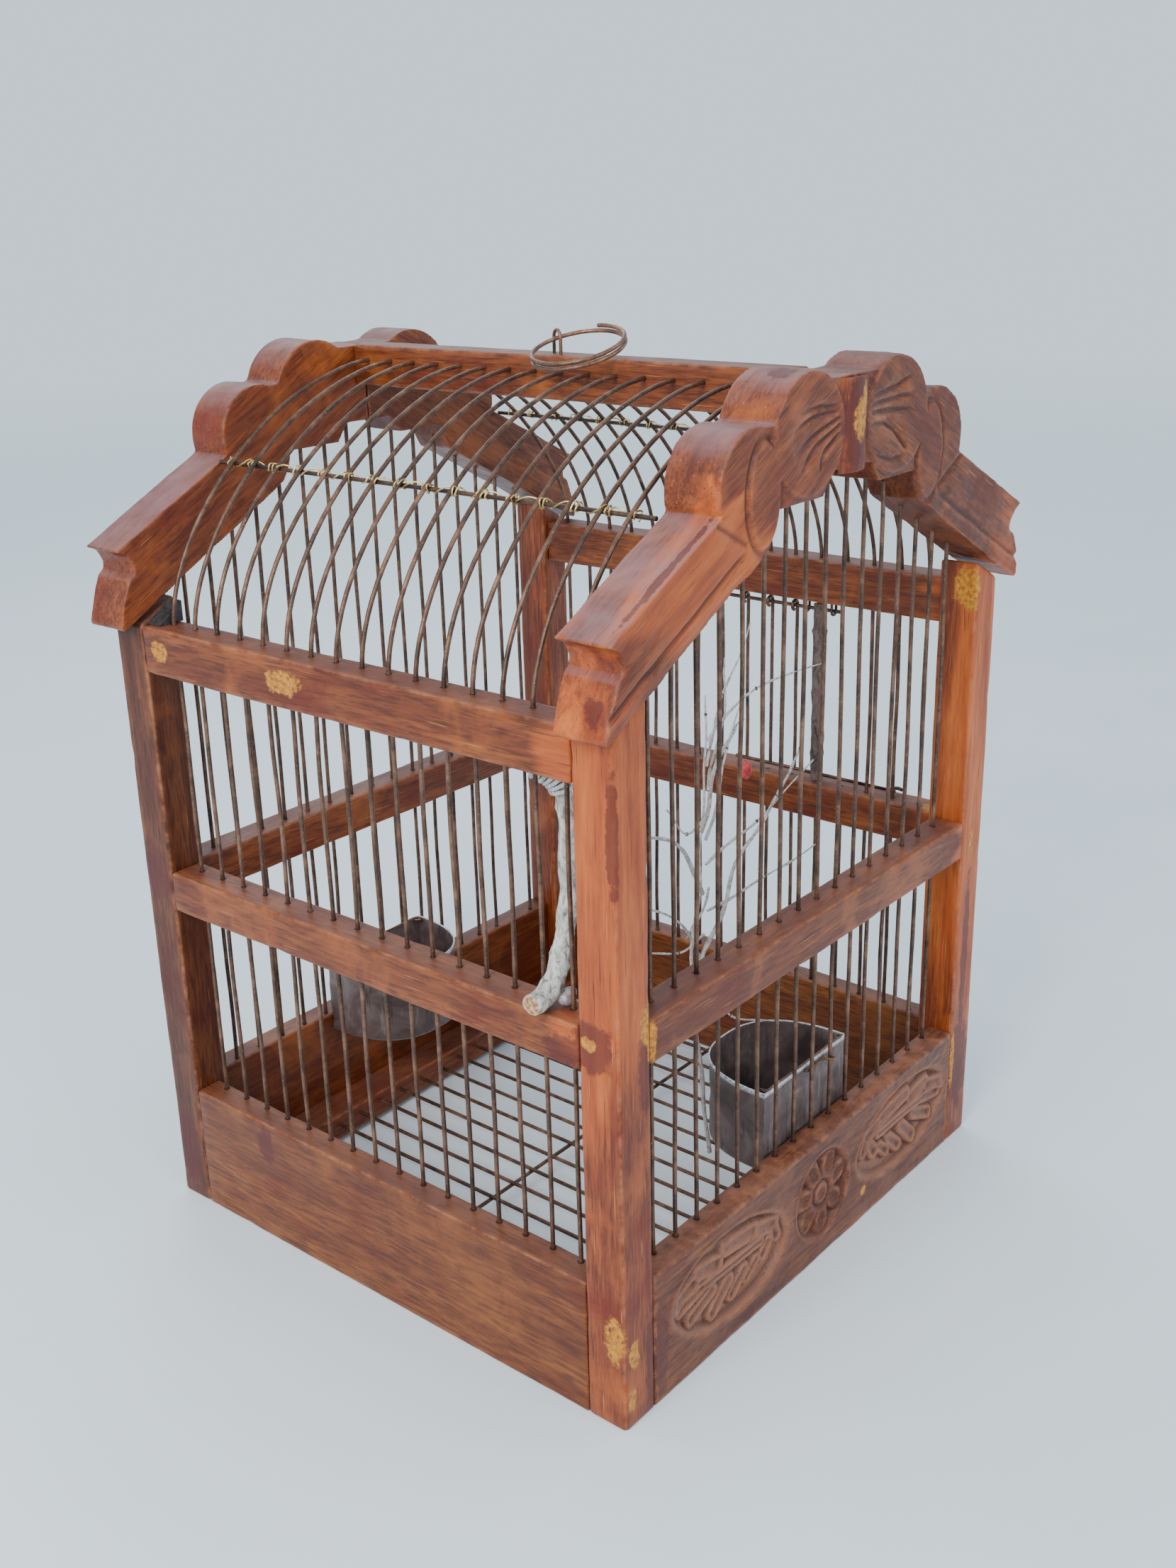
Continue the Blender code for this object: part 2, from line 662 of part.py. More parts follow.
# Perch: a branch that lies on the left middle rail and climbs inside the wall. Each point has its radius
PERCH = (
    ((-0.1735, -0.1206, 0.2138), 0.0053),
    ((-0.1645, -0.1206, 0.2146), 0.0056),
    ((-0.1570, -0.1206, 0.2205), 0.0054),
    ((-0.1515, -0.1200, 0.2310), 0.0049),
    ((-0.1460, -0.1186, 0.2430), 0.0047),
    ((-0.1425, -0.1174, 0.2560), 0.0045),
    ((-0.1413, -0.1166, 0.2750), 0.0043),
    ((-0.1413, -0.1164, 0.2950), 0.0041),
    ((-0.1428, -0.1144, 0.3065), 0.0040),
    ((-0.1464, -0.1088, 0.3130), 0.0037),
    ((-0.1486, -0.1010, 0.3144), 0.0034),
)


def build_perch():
    stick = tube("perch_branch", [[point for point, _ in PERCH]], 0.001, bark, resolution=2)
    for point, (_, radius) in zip(stick.data.splines[0].points, PERCH):
        point.radius = radius / 0.001


def shade_parts():
    for obj in parts.objects:
        if obj.type == "MESH":
            smooth(obj)


clear_scene()
parts = new_collection("bird_cage")
cutters = new_collection("cutters")
cutters.hide_render = True
painted_oak = new_material("varnished_wood", (0.30, 0.085, 0.035), 0.38)
dark_wood = new_material("blackened_wood", (0.02, 0.017, 0.018), 0.6)
rusty_wire = new_material("rusty_wire", (0.10, 0.055, 0.035), 0.5, 0.8)
zinc = new_material("zinc_tin", (0.12, 0.10, 0.095), 0.55, 0.7)
bark = new_material("pale_bark", (0.55, 0.53, 0.48), 0.85)

build_posts()
build_gables()
build_front_and_back()
build_left_and_right()
build_ridge()
build_wall_wires()
build_roof()
build_floor()
build_door()
build_ring()
build_cups()
build_perch()
shade_parts()
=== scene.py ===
"""Looks of a wooden songbird cage: worn wood, carved gables and board, rusty wires, tin cups and a branch."""
import json
import math
import random

import bmesh
import bpy
import numpy as np
from mathutils import Matrix, Vector, noise


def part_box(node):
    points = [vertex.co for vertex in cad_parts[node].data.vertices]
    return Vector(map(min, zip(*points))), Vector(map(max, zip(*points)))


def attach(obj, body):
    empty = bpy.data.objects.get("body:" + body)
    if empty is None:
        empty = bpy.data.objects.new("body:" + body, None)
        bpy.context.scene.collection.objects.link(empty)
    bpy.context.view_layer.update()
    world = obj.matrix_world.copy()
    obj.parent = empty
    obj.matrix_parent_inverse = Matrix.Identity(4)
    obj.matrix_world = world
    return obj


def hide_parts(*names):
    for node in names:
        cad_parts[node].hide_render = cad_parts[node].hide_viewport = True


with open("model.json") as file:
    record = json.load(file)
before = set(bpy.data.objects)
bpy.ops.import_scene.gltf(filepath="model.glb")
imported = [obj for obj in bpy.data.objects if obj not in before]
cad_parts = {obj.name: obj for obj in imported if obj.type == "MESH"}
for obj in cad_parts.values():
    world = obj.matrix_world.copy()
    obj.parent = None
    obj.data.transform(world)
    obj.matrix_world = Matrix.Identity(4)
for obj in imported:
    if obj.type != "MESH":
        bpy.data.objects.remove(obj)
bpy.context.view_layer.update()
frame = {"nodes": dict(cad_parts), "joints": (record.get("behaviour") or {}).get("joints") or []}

draw = random.Random(7)

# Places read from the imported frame, in metres
WIRE_COUNT = 16
WIRE_PITCH = 0.0174
WIRE = 0.00115
lattice = [(k - (WIRE_COUNT - 1) / 2) * WIRE_PITCH for k in range(WIRE_COUNT)]
wire_x = (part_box("wires_left")[0].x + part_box("wires_left")[1].x) / -2
wire_y = (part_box("wires_front")[0].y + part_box("wires_front")[1].y) / -2
board_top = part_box("base_board_left")[1].z
mid_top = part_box("mid_rail_left")[1].z
mid_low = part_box("mid_rail_left")[0].z
eave_low, eave_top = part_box("eave_rail_left")[0].z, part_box("eave_rail_left")[1].z
ridge_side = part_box("ridge_beam")[1].x
spring_height = 0.118
ROOF_POWER = 1.19
ROD_HEIGHT = 0.0765
gable_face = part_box("gable_front_left")[0].y
gable_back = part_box("gable_front_left")[1].y

# The door in the right wall: places counted along the lattice
MISSING_WIRE, DOOR_WIRES, ROD_HOOK = 3, (5, 6, 7), 8
hinge_z = frame["joints"][0]["pos_m"][2]
DOOR_WIRE = 0.0011
CURL = 0.0027
door_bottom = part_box("door_wires")[0].z + DOOR_WIRE
eye = Vector(frame["joints"][1]["pos_m"])


# ---------------------------------------------------------------- nodes

class Nodes:
    """A short way to write the nodes of one material."""

    def __init__(self, name):
        self.material = bpy.data.materials.new(name)
        self.material.use_nodes = True
        self.tree = self.material.node_tree
        self.shader = self.tree.nodes["Principled BSDF"]
        self.place = self.node("ShaderNodeTexCoord").outputs["Object"]

    def node(self, kind, **settings):
        made = self.tree.nodes.new(kind)
        for name, value in settings.items():
            setattr(made, name, value)
        return made

    def feed(self, socket, value):
        if isinstance(value, bpy.types.NodeSocket):
            self.tree.links.new(value, socket)
        else:
            socket.default_value = value

    def maths(self, operation, *values, clamp=False):
        made = self.node("ShaderNodeMath", operation=operation, use_clamp=clamp)
        for socket, value in zip(made.inputs, values):
            self.feed(socket, value)
        return made.outputs[0]

    def times(self, first, second):
        return self.maths("MULTIPLY", first, second)

    def plus(self, first, second, clamp=False):
        return self.maths("ADD", first, second, clamp=clamp)

    def minus(self, first, second):
        return self.maths("SUBTRACT", first, second)

    def larger(self, first, second):
        return self.maths("MAXIMUM", first, second)

    def fix(self, name, value):
        """Gives one of the shader's sockets an even value."""
        self.shader.inputs[name].default_value = value

    def cloud(self, scale, *settings):
        """Noise over the object's own place."""
        return self.noise(self.place, scale, *settings)

    def mapping(self, vector, scale=(1, 1, 1), turn=(0, 0, 0), move=(0, 0, 0)):
        made = self.node("ShaderNodeMapping")
        self.feed(made.inputs["Vector"], vector)
        made.inputs["Scale"].default_value = scale
        made.inputs["Rotation"].default_value = turn
        made.inputs["Location"].default_value = move
        return made.outputs[0]

    def noise(self, vector, scale, detail=4.0, roughness=0.55, distortion=0.0):
        made = self.node("ShaderNodeTexNoise")
        self.feed(made.inputs["Vector"], vector)
        made.inputs["Scale"].default_value = scale
        made.inputs["Detail"].default_value = detail
        made.inputs["Roughness"].default_value = roughness
        made.inputs["Distortion"].default_value = distortion
        return made.outputs["Fac"]

    def ramp(self, value, *stops):
        made = self.node("ShaderNodeValToRGB")
        self.feed(made.inputs["Fac"], value)
        points = made.color_ramp.elements
        while len(points) < len(stops):
            points.new(0.5)
        for point, (position, colour) in zip(points, stops):
            point.position = position
            point.color = (*colour, 1) if isinstance(colour, tuple) else (colour, colour, colour, 1)
        return made.outputs["Color"]

    def spread(self, value, low, high):
        """0 below low, 1 above high, straight between."""
        made = self.node("ShaderNodeMapRange", clamp=True)
        self.feed(made.inputs["Value"], value)
        made.inputs["From Min"].default_value = low
        made.inputs["From Max"].default_value = high
        return made.outputs[0]

    def mix(self, share, first, second):
        made = self.node("ShaderNodeMix", data_type="RGBA", blend_type="MIX", clamp_factor=True)
        self.feed(made.inputs[0], share)
        for socket, value in zip(made.inputs[6:8], (first, second)):
            self.feed(socket, (*value, 1) if isinstance(value, tuple) else value)
        return made.outputs[2]

    def lay(self, under, share, over, amount=None):
        """Lays one colour over another, by a share that an amount may lessen."""
        return self.mix(share if amount is None else self.times(share, amount), under, over)

    def attribute(self, name):
        return self.node("ShaderNodeAttribute", attribute_name=name).outputs["Fac"]

    def facing(self, axis):
        """How far the surface faces along one world axis."""
        normal = self.node("ShaderNodeNewGeometry").outputs["Normal"]
        split = self.node("ShaderNodeSeparateXYZ")
        self.feed(split.inputs[0], normal)
        return split.outputs[axis]

    def split(self, vector):
        made = self.node("ShaderNodeSeparateXYZ")
        self.feed(made.inputs[0], vector)
        return made.outputs

    def finish(self, colour, roughness, bump, depth, strength=1.0):
        self.feed(self.shader.inputs["Base Color"], colour)
        self.feed(self.shader.inputs["Roughness"], roughness)
        made = self.node("ShaderNodeBump")
        made.inputs["Strength"].default_value = strength
        made.inputs["Distance"].default_value = depth
        self.feed(made.inputs["Height"], bump)
        self.feed(self.shader.inputs["Normal"], made.outputs["Normal"])
        return self.material

    def spot(self, centre, sizes, ragged):
        """1 inside a ragged-edged patch round a point, falling to 0 at its edge."""
        moved = self.mapping(self.place, move=tuple(-c for c in centre))
        scaled = self.mapping(moved, scale=tuple(1 / s for s in sizes))
        length = self.node("ShaderNodeVectorMath", operation="LENGTH")
        self.feed(length.inputs[0], scaled)
        edge = self.maths("ADD", length.outputs["Value"], ragged)
        return self.spread(edge, 1.05, 0.80)


# ---------------------------------------------------------------- wood

GRAIN = {"x": (0.09, 1, 1), "y": (1, 0.09, 1), "z": (1, 1, 0.09)}
RAKE = math.radians(28.06)

# Ochre patches where the varnish has gone: centre, half sizes
BARE_SPOTS = (
    ((-0.1680, -0.1590, 0.0500), (0.006, 0.006, 0.013)),
    ((-0.1610, -0.1650, 0.0390), (0.004, 0.004, 0.008)),
    ((-0.1630, -0.1650, 0.0150), (0.003, 0.004, 0.008)),
    ((-0.1480, -0.1650, 0.2080), (0.005, 0.004, 0.010)),
    ((-0.1445, -0.1650, 0.1980), (0.004, 0.004, 0.012)),
    ((-0.1680, -0.1480, 0.2010), (0.004, 0.005, 0.004)),
    ((0.1455, -0.1600, 0.3420), (0.004, 0.009, 0.012)),
    ((0.1480, -0.1650, 0.0540), (0.0022, 0.003, 0.020)),
    ((0.1560, -0.1650, 0.1900), (0.003, 0.003, 0.010)),
    ((0.0020, -0.1745, 0.4500), (0.006, 0.004, 0.010)),
    ((0.0060, -0.1745, 0.4600), (0.003, 0.004, 0.007)),
    ((-0.1680, 0.0350, 0.3330), (0.004, 0.013, 0.006)),
    ((-0.1680, 0.1300, 0.3330), (0.004, 0.006, 0.006)),
    ((0.0480, -0.1650, 0.0180), (0.003, 0.003, 0.003)),
    ((0.1560, -0.1440, 0.2080), (0.008, 0.010, 0.003)),
)

# Dark red stains: round the joints, on the keystone, and on the end and top of the front gable's left half
STAINS = (
    ((-0.1680, -0.1500, 0.2000), (0.006, 0.013, 0.013)),
    ((-0.1680, -0.1330, 0.1930), (0.004, 0.013, 0.008)),
    ((-0.1490, -0.1650, 0.1850), (0.006, 0.004, 0.022)),
    ((0.0000, -0.1745, 0.4480), (0.0125, 0.005, 0.024)),
    ((-0.1790, -0.1620, 0.3620), (0.005, 0.007, 0.011)),
    ((-0.0450, -0.1620, 0.4760), (0.012, 0.007, 0.005)),
    ((-0.1250, -0.1680, 0.4010), (0.050, 0.0022, 0.026)),
    ((-0.1480, -0.1650, 0.0250), (0.004, 0.004, 0.034)),
    ((-0.1400, -0.1650, 0.0300), (0.006, 0.003, 0.028)),
    ((-0.1680, 0.0850, 0.0600), (0.003, 0.006, 0.013)),
    ((-0.1680, -0.1640, 0.3000), (0.003, 0.004, 0.032)),
    ((-0.1680, 0.1560, 0.2050), (0.004, 0.012, 0.016)),
    ((-0.1680, 0.1560, 0.0300), (0.004, 0.010, 0.026)),
    ((0.1560, -0.1650, 0.0500), (0.012, 0.004, 0.030)),
    ((0.1560, -0.1650, 0.1200), (0.004, 0.003, 0.060)),
)


# Patches where the varnish has gone thin and orange: centre, half sizes
PALE_SPOTS = (
    ((-0.1670, -0.1540, 0.2700), (0.030, 0.030, 0.130)),
    ((0.1660, -0.1560, 0.2300), (0.030, 0.030, 0.190)),
    ((-0.1180, -0.1680, 0.4010), (0.058, 0.012, 0.036)),
)


def hole_rings(nodes):
    """Dark rings where the wires enter the wood, from the wires' lattice."""
    x, y, _ = nodes.split(nodes.place)

    def ring_distance(along, across, plane):
        step = nodes.maths("DIVIDE", along, WIRE_PITCH)
        nearest = nodes.minus(nodes.maths("FRACT", step), 0.5)
        along_off = nodes.times(nearest, WIRE_PITCH)
        across_off = nodes.minus(nodes.maths("ABSOLUTE", across), plane)
        squares = nodes.maths(
            "ADD", nodes.maths("POWER", along_off, 2.0), nodes.maths("POWER", across_off, 2.0)
        )
        return nodes.maths("SQRT", squares)

    near = nodes.maths("MINIMUM", ring_distance(x, y, wire_y), ring_distance(y, x, wire_x))
    up = nodes.maths("GREATER_THAN", nodes.maths("ABSOLUTE", nodes.facing(2)), 0.7)
    hole = nodes.times(nodes.spread(near, 0.0019, 0.0014), up)
    halo = nodes.times(nodes.spread(near, 0.0042, 0.0022), up)
    return hole, halo


DUST_TONE = (0.20, 0.085, 0.062)


def wood(
    name, grain, tint=(1, 1, 1), dust=0.55, shift=0.0, holes=True, lines=0.5, rake=0.0,
    dust_tone=DUST_TONE, clouds=0.85,
):
    """Old red-brown varnished wood with the grain along one axis."""
    nodes = Nodes(name)
    turned = nodes.mapping(nodes.place, turn=(0, rake, 0), move=(shift, shift * 1.7, shift * 0.6))
    along = nodes.mapping(turned, scale=GRAIN[grain])
    warp = nodes.noise(along, 14, 2, 0.5)
    figure = nodes.noise(along, 105, 5, 0.62, 0.5)
    fibre = nodes.noise(along, 620, 3, 0.65, 0.3)
    stretched = nodes.mapping(turned, scale=tuple(s * (0.35 if s < 1 else 1) for s in GRAIN[grain]))
    pores = nodes.noise(stretched, 1150, 1, 0.5)
    blotch = nodes.cloud(21, 4, 0.6, 0.4)
    speck = nodes.cloud(420, 3, 0.6)

    def tinted(red, green, blue):
        return (red * tint[0], green * tint[1], blue * tint[2])

    share = nodes.plus(nodes.times(figure, 0.75), nodes.times(warp, 0.25))
    colour = nodes.ramp(
        share,
        (0.30, tinted(0.080, 0.0150, 0.0040)),
        (0.44, tinted(0.140, 0.0310, 0.0075)),
        (0.56, tinted(0.205, 0.0530, 0.0120)),
        (0.72, tinted(0.320, 0.0980, 0.0210)),
    )
    thread = nodes.times(nodes.spread(fibre, 0.56, 0.38), 0.75)
    colour = nodes.lay(colour, thread, tinted(0.060, 0.0110, 0.0035))
    colour = nodes.lay(colour, nodes.spread(blotch, 0.52, 0.72), tinted(0.110, 0.0110, 0.0040), clouds)
    colour = nodes.lay(colour, nodes.spread(blotch, 0.46, 0.30), tinted(0.330, 0.0900, 0.0150), 0.8 * clouds)
    thin = 0.0
    soft = nodes.times(nodes.minus(nodes.noise(along, 60, 4, 0.65), 0.5), 1.5)
    for centre, sizes in PALE_SPOTS:
        thin = nodes.larger(nodes.spot(centre, sizes, soft), thin)
    orange = nodes.ramp(
        share, (0.34, (0.24, 0.036, 0.006)), (0.50, (0.50, 0.095, 0.014)), (0.66, (0.74, 0.185, 0.032))
    )
    colour = nodes.lay(colour, thin, orange, 0.58)
    bare = nodes.times(nodes.attribute("pale"), 0.5)
    colour = nodes.lay(colour, bare, (0.33, 0.135, 0.080))
    flecks = nodes.times(nodes.spread(pores, 0.70, 0.78), lines)
    colour = nodes.lay(colour, flecks, (0.50, 0.19, 0.060))
    dark_pores = nodes.times(nodes.spread(pores, 0.33, 0.25), 0.7)
    colour = nodes.lay(colour, dark_pores, (0.035, 0.010, 0.006))

    rubbed = nodes.spread(nodes.cloud(110, 4, 0.65), 0.40, 0.66)
    wear = nodes.times(nodes.attribute("wear"), rubbed)
    colour = nodes.lay(colour, wear, (0.44, 0.165, 0.075), 0.55)
    # Darker in hollows from the curvature mark: dirt and painted shade
    dirt_and_shade = nodes.times(nodes.attribute("dirt_and_shade"), 0.75)
    colour = nodes.lay(colour, dirt_and_shade, (0.040, 0.012, 0.008))

    upward = nodes.times(nodes.spread(nodes.facing(2), 0.45, 0.90), dust)
    lying = nodes.times(upward, nodes.spread(nodes.cloud(48, 4, 0.6), 0.25, 0.72))
    colour = nodes.lay(colour, lying, dust_tone)
    ragged = nodes.times(nodes.minus(nodes.cloud(150, 4, 0.7), 0.5), 1.6)
    stain = 0.0
    for centre, sizes in STAINS:
        stain = nodes.larger(nodes.spot(centre, sizes, ragged), stain)
    colour = nodes.lay(colour, stain, (0.075, 0.0060, 0.0045), 0.72)
    patch = 0.0
    for centre, sizes in BARE_SPOTS:
        patch = nodes.larger(nodes.spot(centre, sizes, ragged), patch)
    ochre = nodes.ramp(speck, (0.35, (0.28, 0.085, 0.008)), (0.65, (0.62, 0.255, 0.016)))
    colour = nodes.lay(colour, patch, ochre, nodes.spread(speck, 0.30, 0.42))
    rough = nodes.plus(nodes.times(blotch, 0.30), 0.30)
    rough = nodes.plus(rough, nodes.times(lying, 0.35))
    rough = nodes.plus(rough, nodes.times(wear, 0.15), clamp=True)
    height = nodes.plus(nodes.times(fibre, 0.55), nodes.times(figure, 0.5))
    height = nodes.plus(height, nodes.times(speck, 0.25))
    height = nodes.minus(height, nodes.times(dark_pores, 0.5))
    if holes:
        hole, halo = hole_rings(nodes)
        colour = nodes.lay(colour, halo, (0.16, 0.055, 0.035), 0.45)
        colour = nodes.lay(colour, hole, (0.012, 0.006, 0.004))
        height = nodes.minus(height, nodes.times(hole, 1.2))
    nodes.fix("Coat Weight", 0.10)
    nodes.fix("Coat Roughness", 0.28)
    nodes.fix("Specular IOR Level", 0.30)
    return nodes.finish(colour, rough, height, 0.0004, 0.8)


# ---------------------------------------------------------------- other materials

def rusty_steel(name, light=1.0):
    nodes = Nodes(name)
    patches = nodes.cloud(75, 4, 0.65, 0.5)
    grit = nodes.cloud(900, 4, 0.7)
    colour = nodes.ramp(
        patches,
        (0.28, (0.030 * light, 0.019 * light, 0.015 * light)),
        (0.50, (0.105 * light, 0.052 * light, 0.032 * light)),
        (0.72, (0.235 * light, 0.125 * light, 0.078 * light)),
    )
    colour = nodes.lay(colour, nodes.spread(grit, 0.60, 0.75), (0.36 * light, 0.24 * light, 0.17 * light))
    colour = nodes.lay(colour, nodes.spread(grit, 0.40, 0.28), (0.018, 0.012, 0.010))
    rough = nodes.plus(nodes.times(grit, 0.35), 0.25)
    nodes.fix("Metallic", 0.55)
    return nodes.finish(colour, rough, grit, 0.00018, 0.7)


def mottled(name, texture, stops, rough, depth, strength, bump=None, **fixed):
    """A material whose colour, roughness and relief follow one clouded noise."""
    nodes = Nodes(name)
    clouds = nodes.cloud(*texture)
    colour = nodes.ramp(clouds, *stops)
    for socket, value in fixed.items():
        nodes.fix(socket.replace("_", " ").title(), value)
    roughness = nodes.plus(rough[0], nodes.times(clouds, rough[1]))
    height = clouds if bump is None else nodes.cloud(*bump)
    return nodes.finish(colour, roughness, height, depth, strength)


def tin(name):
    """Dull dark zinc, paler on worn rims and folds."""
    nodes = Nodes(name)
    streaks = nodes.noise(nodes.mapping(nodes.place, scale=(1, 1, 0.18)), 190, 4, 0.65)
    clouds = nodes.cloud(45, 4, 0.6, 0.6)
    grit = nodes.cloud(700, 3, 0.6)
    colour = nodes.ramp(
        clouds, (0.30, (0.070, 0.048, 0.045)), (0.52, (0.150, 0.105, 0.098)), (0.75, (0.270, 0.210, 0.205))
    )
    colour = nodes.lay(colour, nodes.spread(streaks, 0.60, 0.80), (0.33, 0.27, 0.26))
    colour = nodes.lay(colour, nodes.spread(streaks, 0.42, 0.25), (0.050, 0.030, 0.025), 0.8)
    rim = nodes.times(nodes.attribute("wear"), nodes.spread(grit, 0.30, 0.50))
    colour = nodes.lay(colour, rim, (0.68, 0.69, 0.72))
    nodes.fix("Metallic", 0.35)
    rough = nodes.plus(nodes.times(clouds, 0.4), 0.28)
    height = nodes.plus(grit, nodes.times(streaks, 0.8))
    return nodes.finish(colour, rough, height, 0.0003, 0.6)


def bark(name, pale, dark, fine=1.0):
    nodes = Nodes(name)
    ridges = nodes.noise(nodes.mapping(nodes.place, scale=(1, 1, 0.4)), 330 * fine, 5, 0.7, 0.8)
    clouds = nodes.cloud(85, 4, 0.6)
    between = tuple(0.6 * p + 0.4 * d for p, d in zip(pale, dark))
    colour = nodes.ramp(ridges, (0.36, dark), (0.50, between), (0.60, pale))
    colour = nodes.lay(colour, nodes.spread(clouds, 0.55, 0.75), tuple(0.45 * p for p in pale))
    cut = nodes.attribute("cut")
    fresh = nodes.ramp(nodes.cloud(500, 3), (0.35, (0.22, 0.085, 0.030)), (0.65, (0.62, 0.40, 0.22)))
    colour = nodes.lay(colour, cut, fresh)
    return nodes.finish(colour, nodes.plus(0.7, nodes.times(clouds, 0.3)), ridges, 0.0006, 0.9)


wood_x = wood("wood_along_x", "x", tint=(1.0, 0.95, 1.0), shift=0.3)
wood_y = wood("wood_along_y", "y", tint=(1.0, 0.94, 0.95), shift=1.1)
wood_post = wood("wood_posts", "z", tint=(1.25, 1.0, 0.9), shift=2.3, holes=False, lines=0.9)
# The far post's wood: the post wood made darker and bluer, as painted shade
wood_post_shaded = wood("wood_post_painted_shade", "z", tint=(0.55, 0.52, 0.60), shift=3.4, holes=False, lines=0.4)
wood_board = wood("wood_boards_y", "y", tint=(1.0, 1.08, 1.0), shift=4.1, lines=0.25, clouds=0.5)
wood_carved = wood("wood_carved_board", "x", tint=(0.86, 0.94, 1.35), shift=5.2, lines=0.3, clouds=0.45)
wood_left = wood(
    "wood_gable_left", "x", tint=(1.15, 1.0, 0.95), shift=6.7, holes=False, rake=RAKE, lines=0.6,
    dust=0.85, dust_tone=(0.27, 0.140, 0.145),
)
wood_right = wood(
    "wood_gable_right", "x", tint=(0.88, 0.80, 0.85), shift=8.2, holes=False, rake=-RAKE,
    dust=0.75, dust_tone=(0.20, 0.100, 0.095),
)
wood_key = wood("wood_keystone", "z", tint=(1.1, 0.8, 0.9), shift=9.9, holes=False, lines=0.3)
steel = rusty_steel("rusty_wire", 1.08)
dark_steel = rusty_steel("dark_wire", 0.7)
bright_steel = rusty_steel("worn_ring", 1.7)
brass_wire = mottled(
    "brass_binding",
    (160, 3, 0.6),
    ((0.30, (0.30, 0.180, 0.060)), (0.50, (0.66, 0.460, 0.170)), (0.70, (0.92, 0.760, 0.380))),
    (0.18, 0.3),
    0.0001,
    0.5,
    bump=(1500, 2),
    metallic=0.85,
)
zinc = tin("zinc_tin")
pale_bark = bark("pale_bark", (0.66, 0.65, 0.60), (0.15, 0.135, 0.115))
brown_bark = bark("brown_bark", (0.15, 0.10, 0.085), (0.022, 0.016, 0.015))
twig_bark = bark("twig_bark", (0.62, 0.58, 0.56), (0.24, 0.20, 0.18), 1.6)
berry = mottled(
    "berry_red", (300, 3), ((0.35, (0.30, 0.012, 0.016)), (0.65, (0.66, 0.06, 0.07))), (0.3, 0.3), 0.0003, 0.5
)
glue = mottled(
    "dried_glue",
    (380, 4, 0.6),
    ((0.35, (0.36, 0.30, 0.32)), (0.65, (0.62, 0.56, 0.57))),
    (0.18, 0.2),
    0.0004,
    0.5,
    transmission_weight=0.35,
)
thread_white = bark("white_thread", (0.80, 0.80, 0.78), (0.42, 0.41, 0.40), 1.8)
black_block = mottled(
    "blackened_wood",
    (240, 4, 0.65),
    ((0.35, (0.012, 0.011, 0.013)), (0.60, (0.045, 0.038, 0.038)), (0.78, (0.11, 0.08, 0.07))),
    (0.4, 0.3),
    0.0005,
    0.7,
)


# ---------------------------------------------------------------- geometry helpers

def show(name, data, material, body, slot, *nodes):
    """An object that rides on a body and stands for CAD nodes."""
    obj = bpy.data.objects.new(name, data)
    bpy.context.scene.collection.objects.link(obj)
    data.materials.clear()
    data.materials.append(material)
    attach(obj, body)
    if nodes:
        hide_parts(*nodes)
    return obj


def mesh_from(shape, name):
    mesh = bpy.data.meshes.new(name)
    shape.to_mesh(mesh)
    shape.free()
    return mesh


def bridge(shape, loops):
    """Faces between each loop of points and the next."""
    for first, second in zip(loops, loops[1:]):
        count = len(first)
        for k in range(count):
            after = (k + 1) % count
            shape.faces.new((first[k], first[after], second[after], second[k]))


def wobble(point, size, fineness):
    """Smooth noise around zero at a point, in metres."""
    return size * noise.noise(Vector(point) * fineness)


def set_marks(mesh, name, values):
    layer = mesh.attributes.new(name, "FLOAT", "POINT")
    layer.data.foreach_set("value", np.asarray(values, np.float32))


def vertex_array(mesh, what="co"):
    found = np.empty(len(mesh.vertices) * 3)
    mesh.vertices.foreach_get(what, found)
    return found.reshape(-1, 3)


def mark_curvature(mesh, gain, passes=2):
    """Wear on ridges, and dirt with painted shade in hollows, from how each point stands out from its
    neighbours.
    """
    places, normals = vertex_array(mesh), vertex_array(mesh, "normal")
    ends = np.empty(len(mesh.edges) * 2, np.int64)
    mesh.edges.foreach_get("vertices", ends)
    first, second = ends.reshape(-1, 2).T
    degree = np.bincount(first, minlength=len(places)) + np.bincount(second, minlength=len(places))

    def around(values):
        total = np.bincount(first, values[second], len(values))
        total += np.bincount(second, values[first], len(values))
        return total / np.maximum(degree, 1)

    middle = np.stack([around(places[:, k]) for k in range(3)], 1)
    bend = ((places - middle) * normals).sum(1)
    for _ in range(passes):
        bend = 0.5 * bend + 0.5 * around(bend)
    set_marks(mesh, "wear", np.clip(bend * gain, 0, 1))
    # Hollows get the mark for dirt and painted shade
    set_marks(mesh, "dirt_and_shade", np.clip(-bend * gain, 0, 1))


def section(width, height, radius):
    """Points round a rounded rectangle, each with how much of an edge it is."""
    points = []
    flat = 0.0022
    for quarter in range(4):
        cx = (width / 2 - radius) * (1 if quarter in (0, 3) else -1)
        cy = (height / 2 - radius) * (1 if quarter < 2 else -1)
        for k in range(4):
            turn = math.radians(90 * quarter + 30 * k)
            edge = 1.0 if k in (1, 2) else 0.3
            points.append((cx + radius * math.cos(turn), cy + radius * math.sin(turn), edge))
        horizontal = quarter in (0, 2)
        step = -1 if quarter in (0, 1) else 1
        start = points[-1]
        span = (width if horizontal else height) - 2 * radius
        for share in (flat / span, 0.5, 1 - flat / span):
            move = step * share * span
            where = (start[0] + move, start[1]) if horizontal else (start[0], start[1] + move)
            points.append((*where, 0.0))
    return points


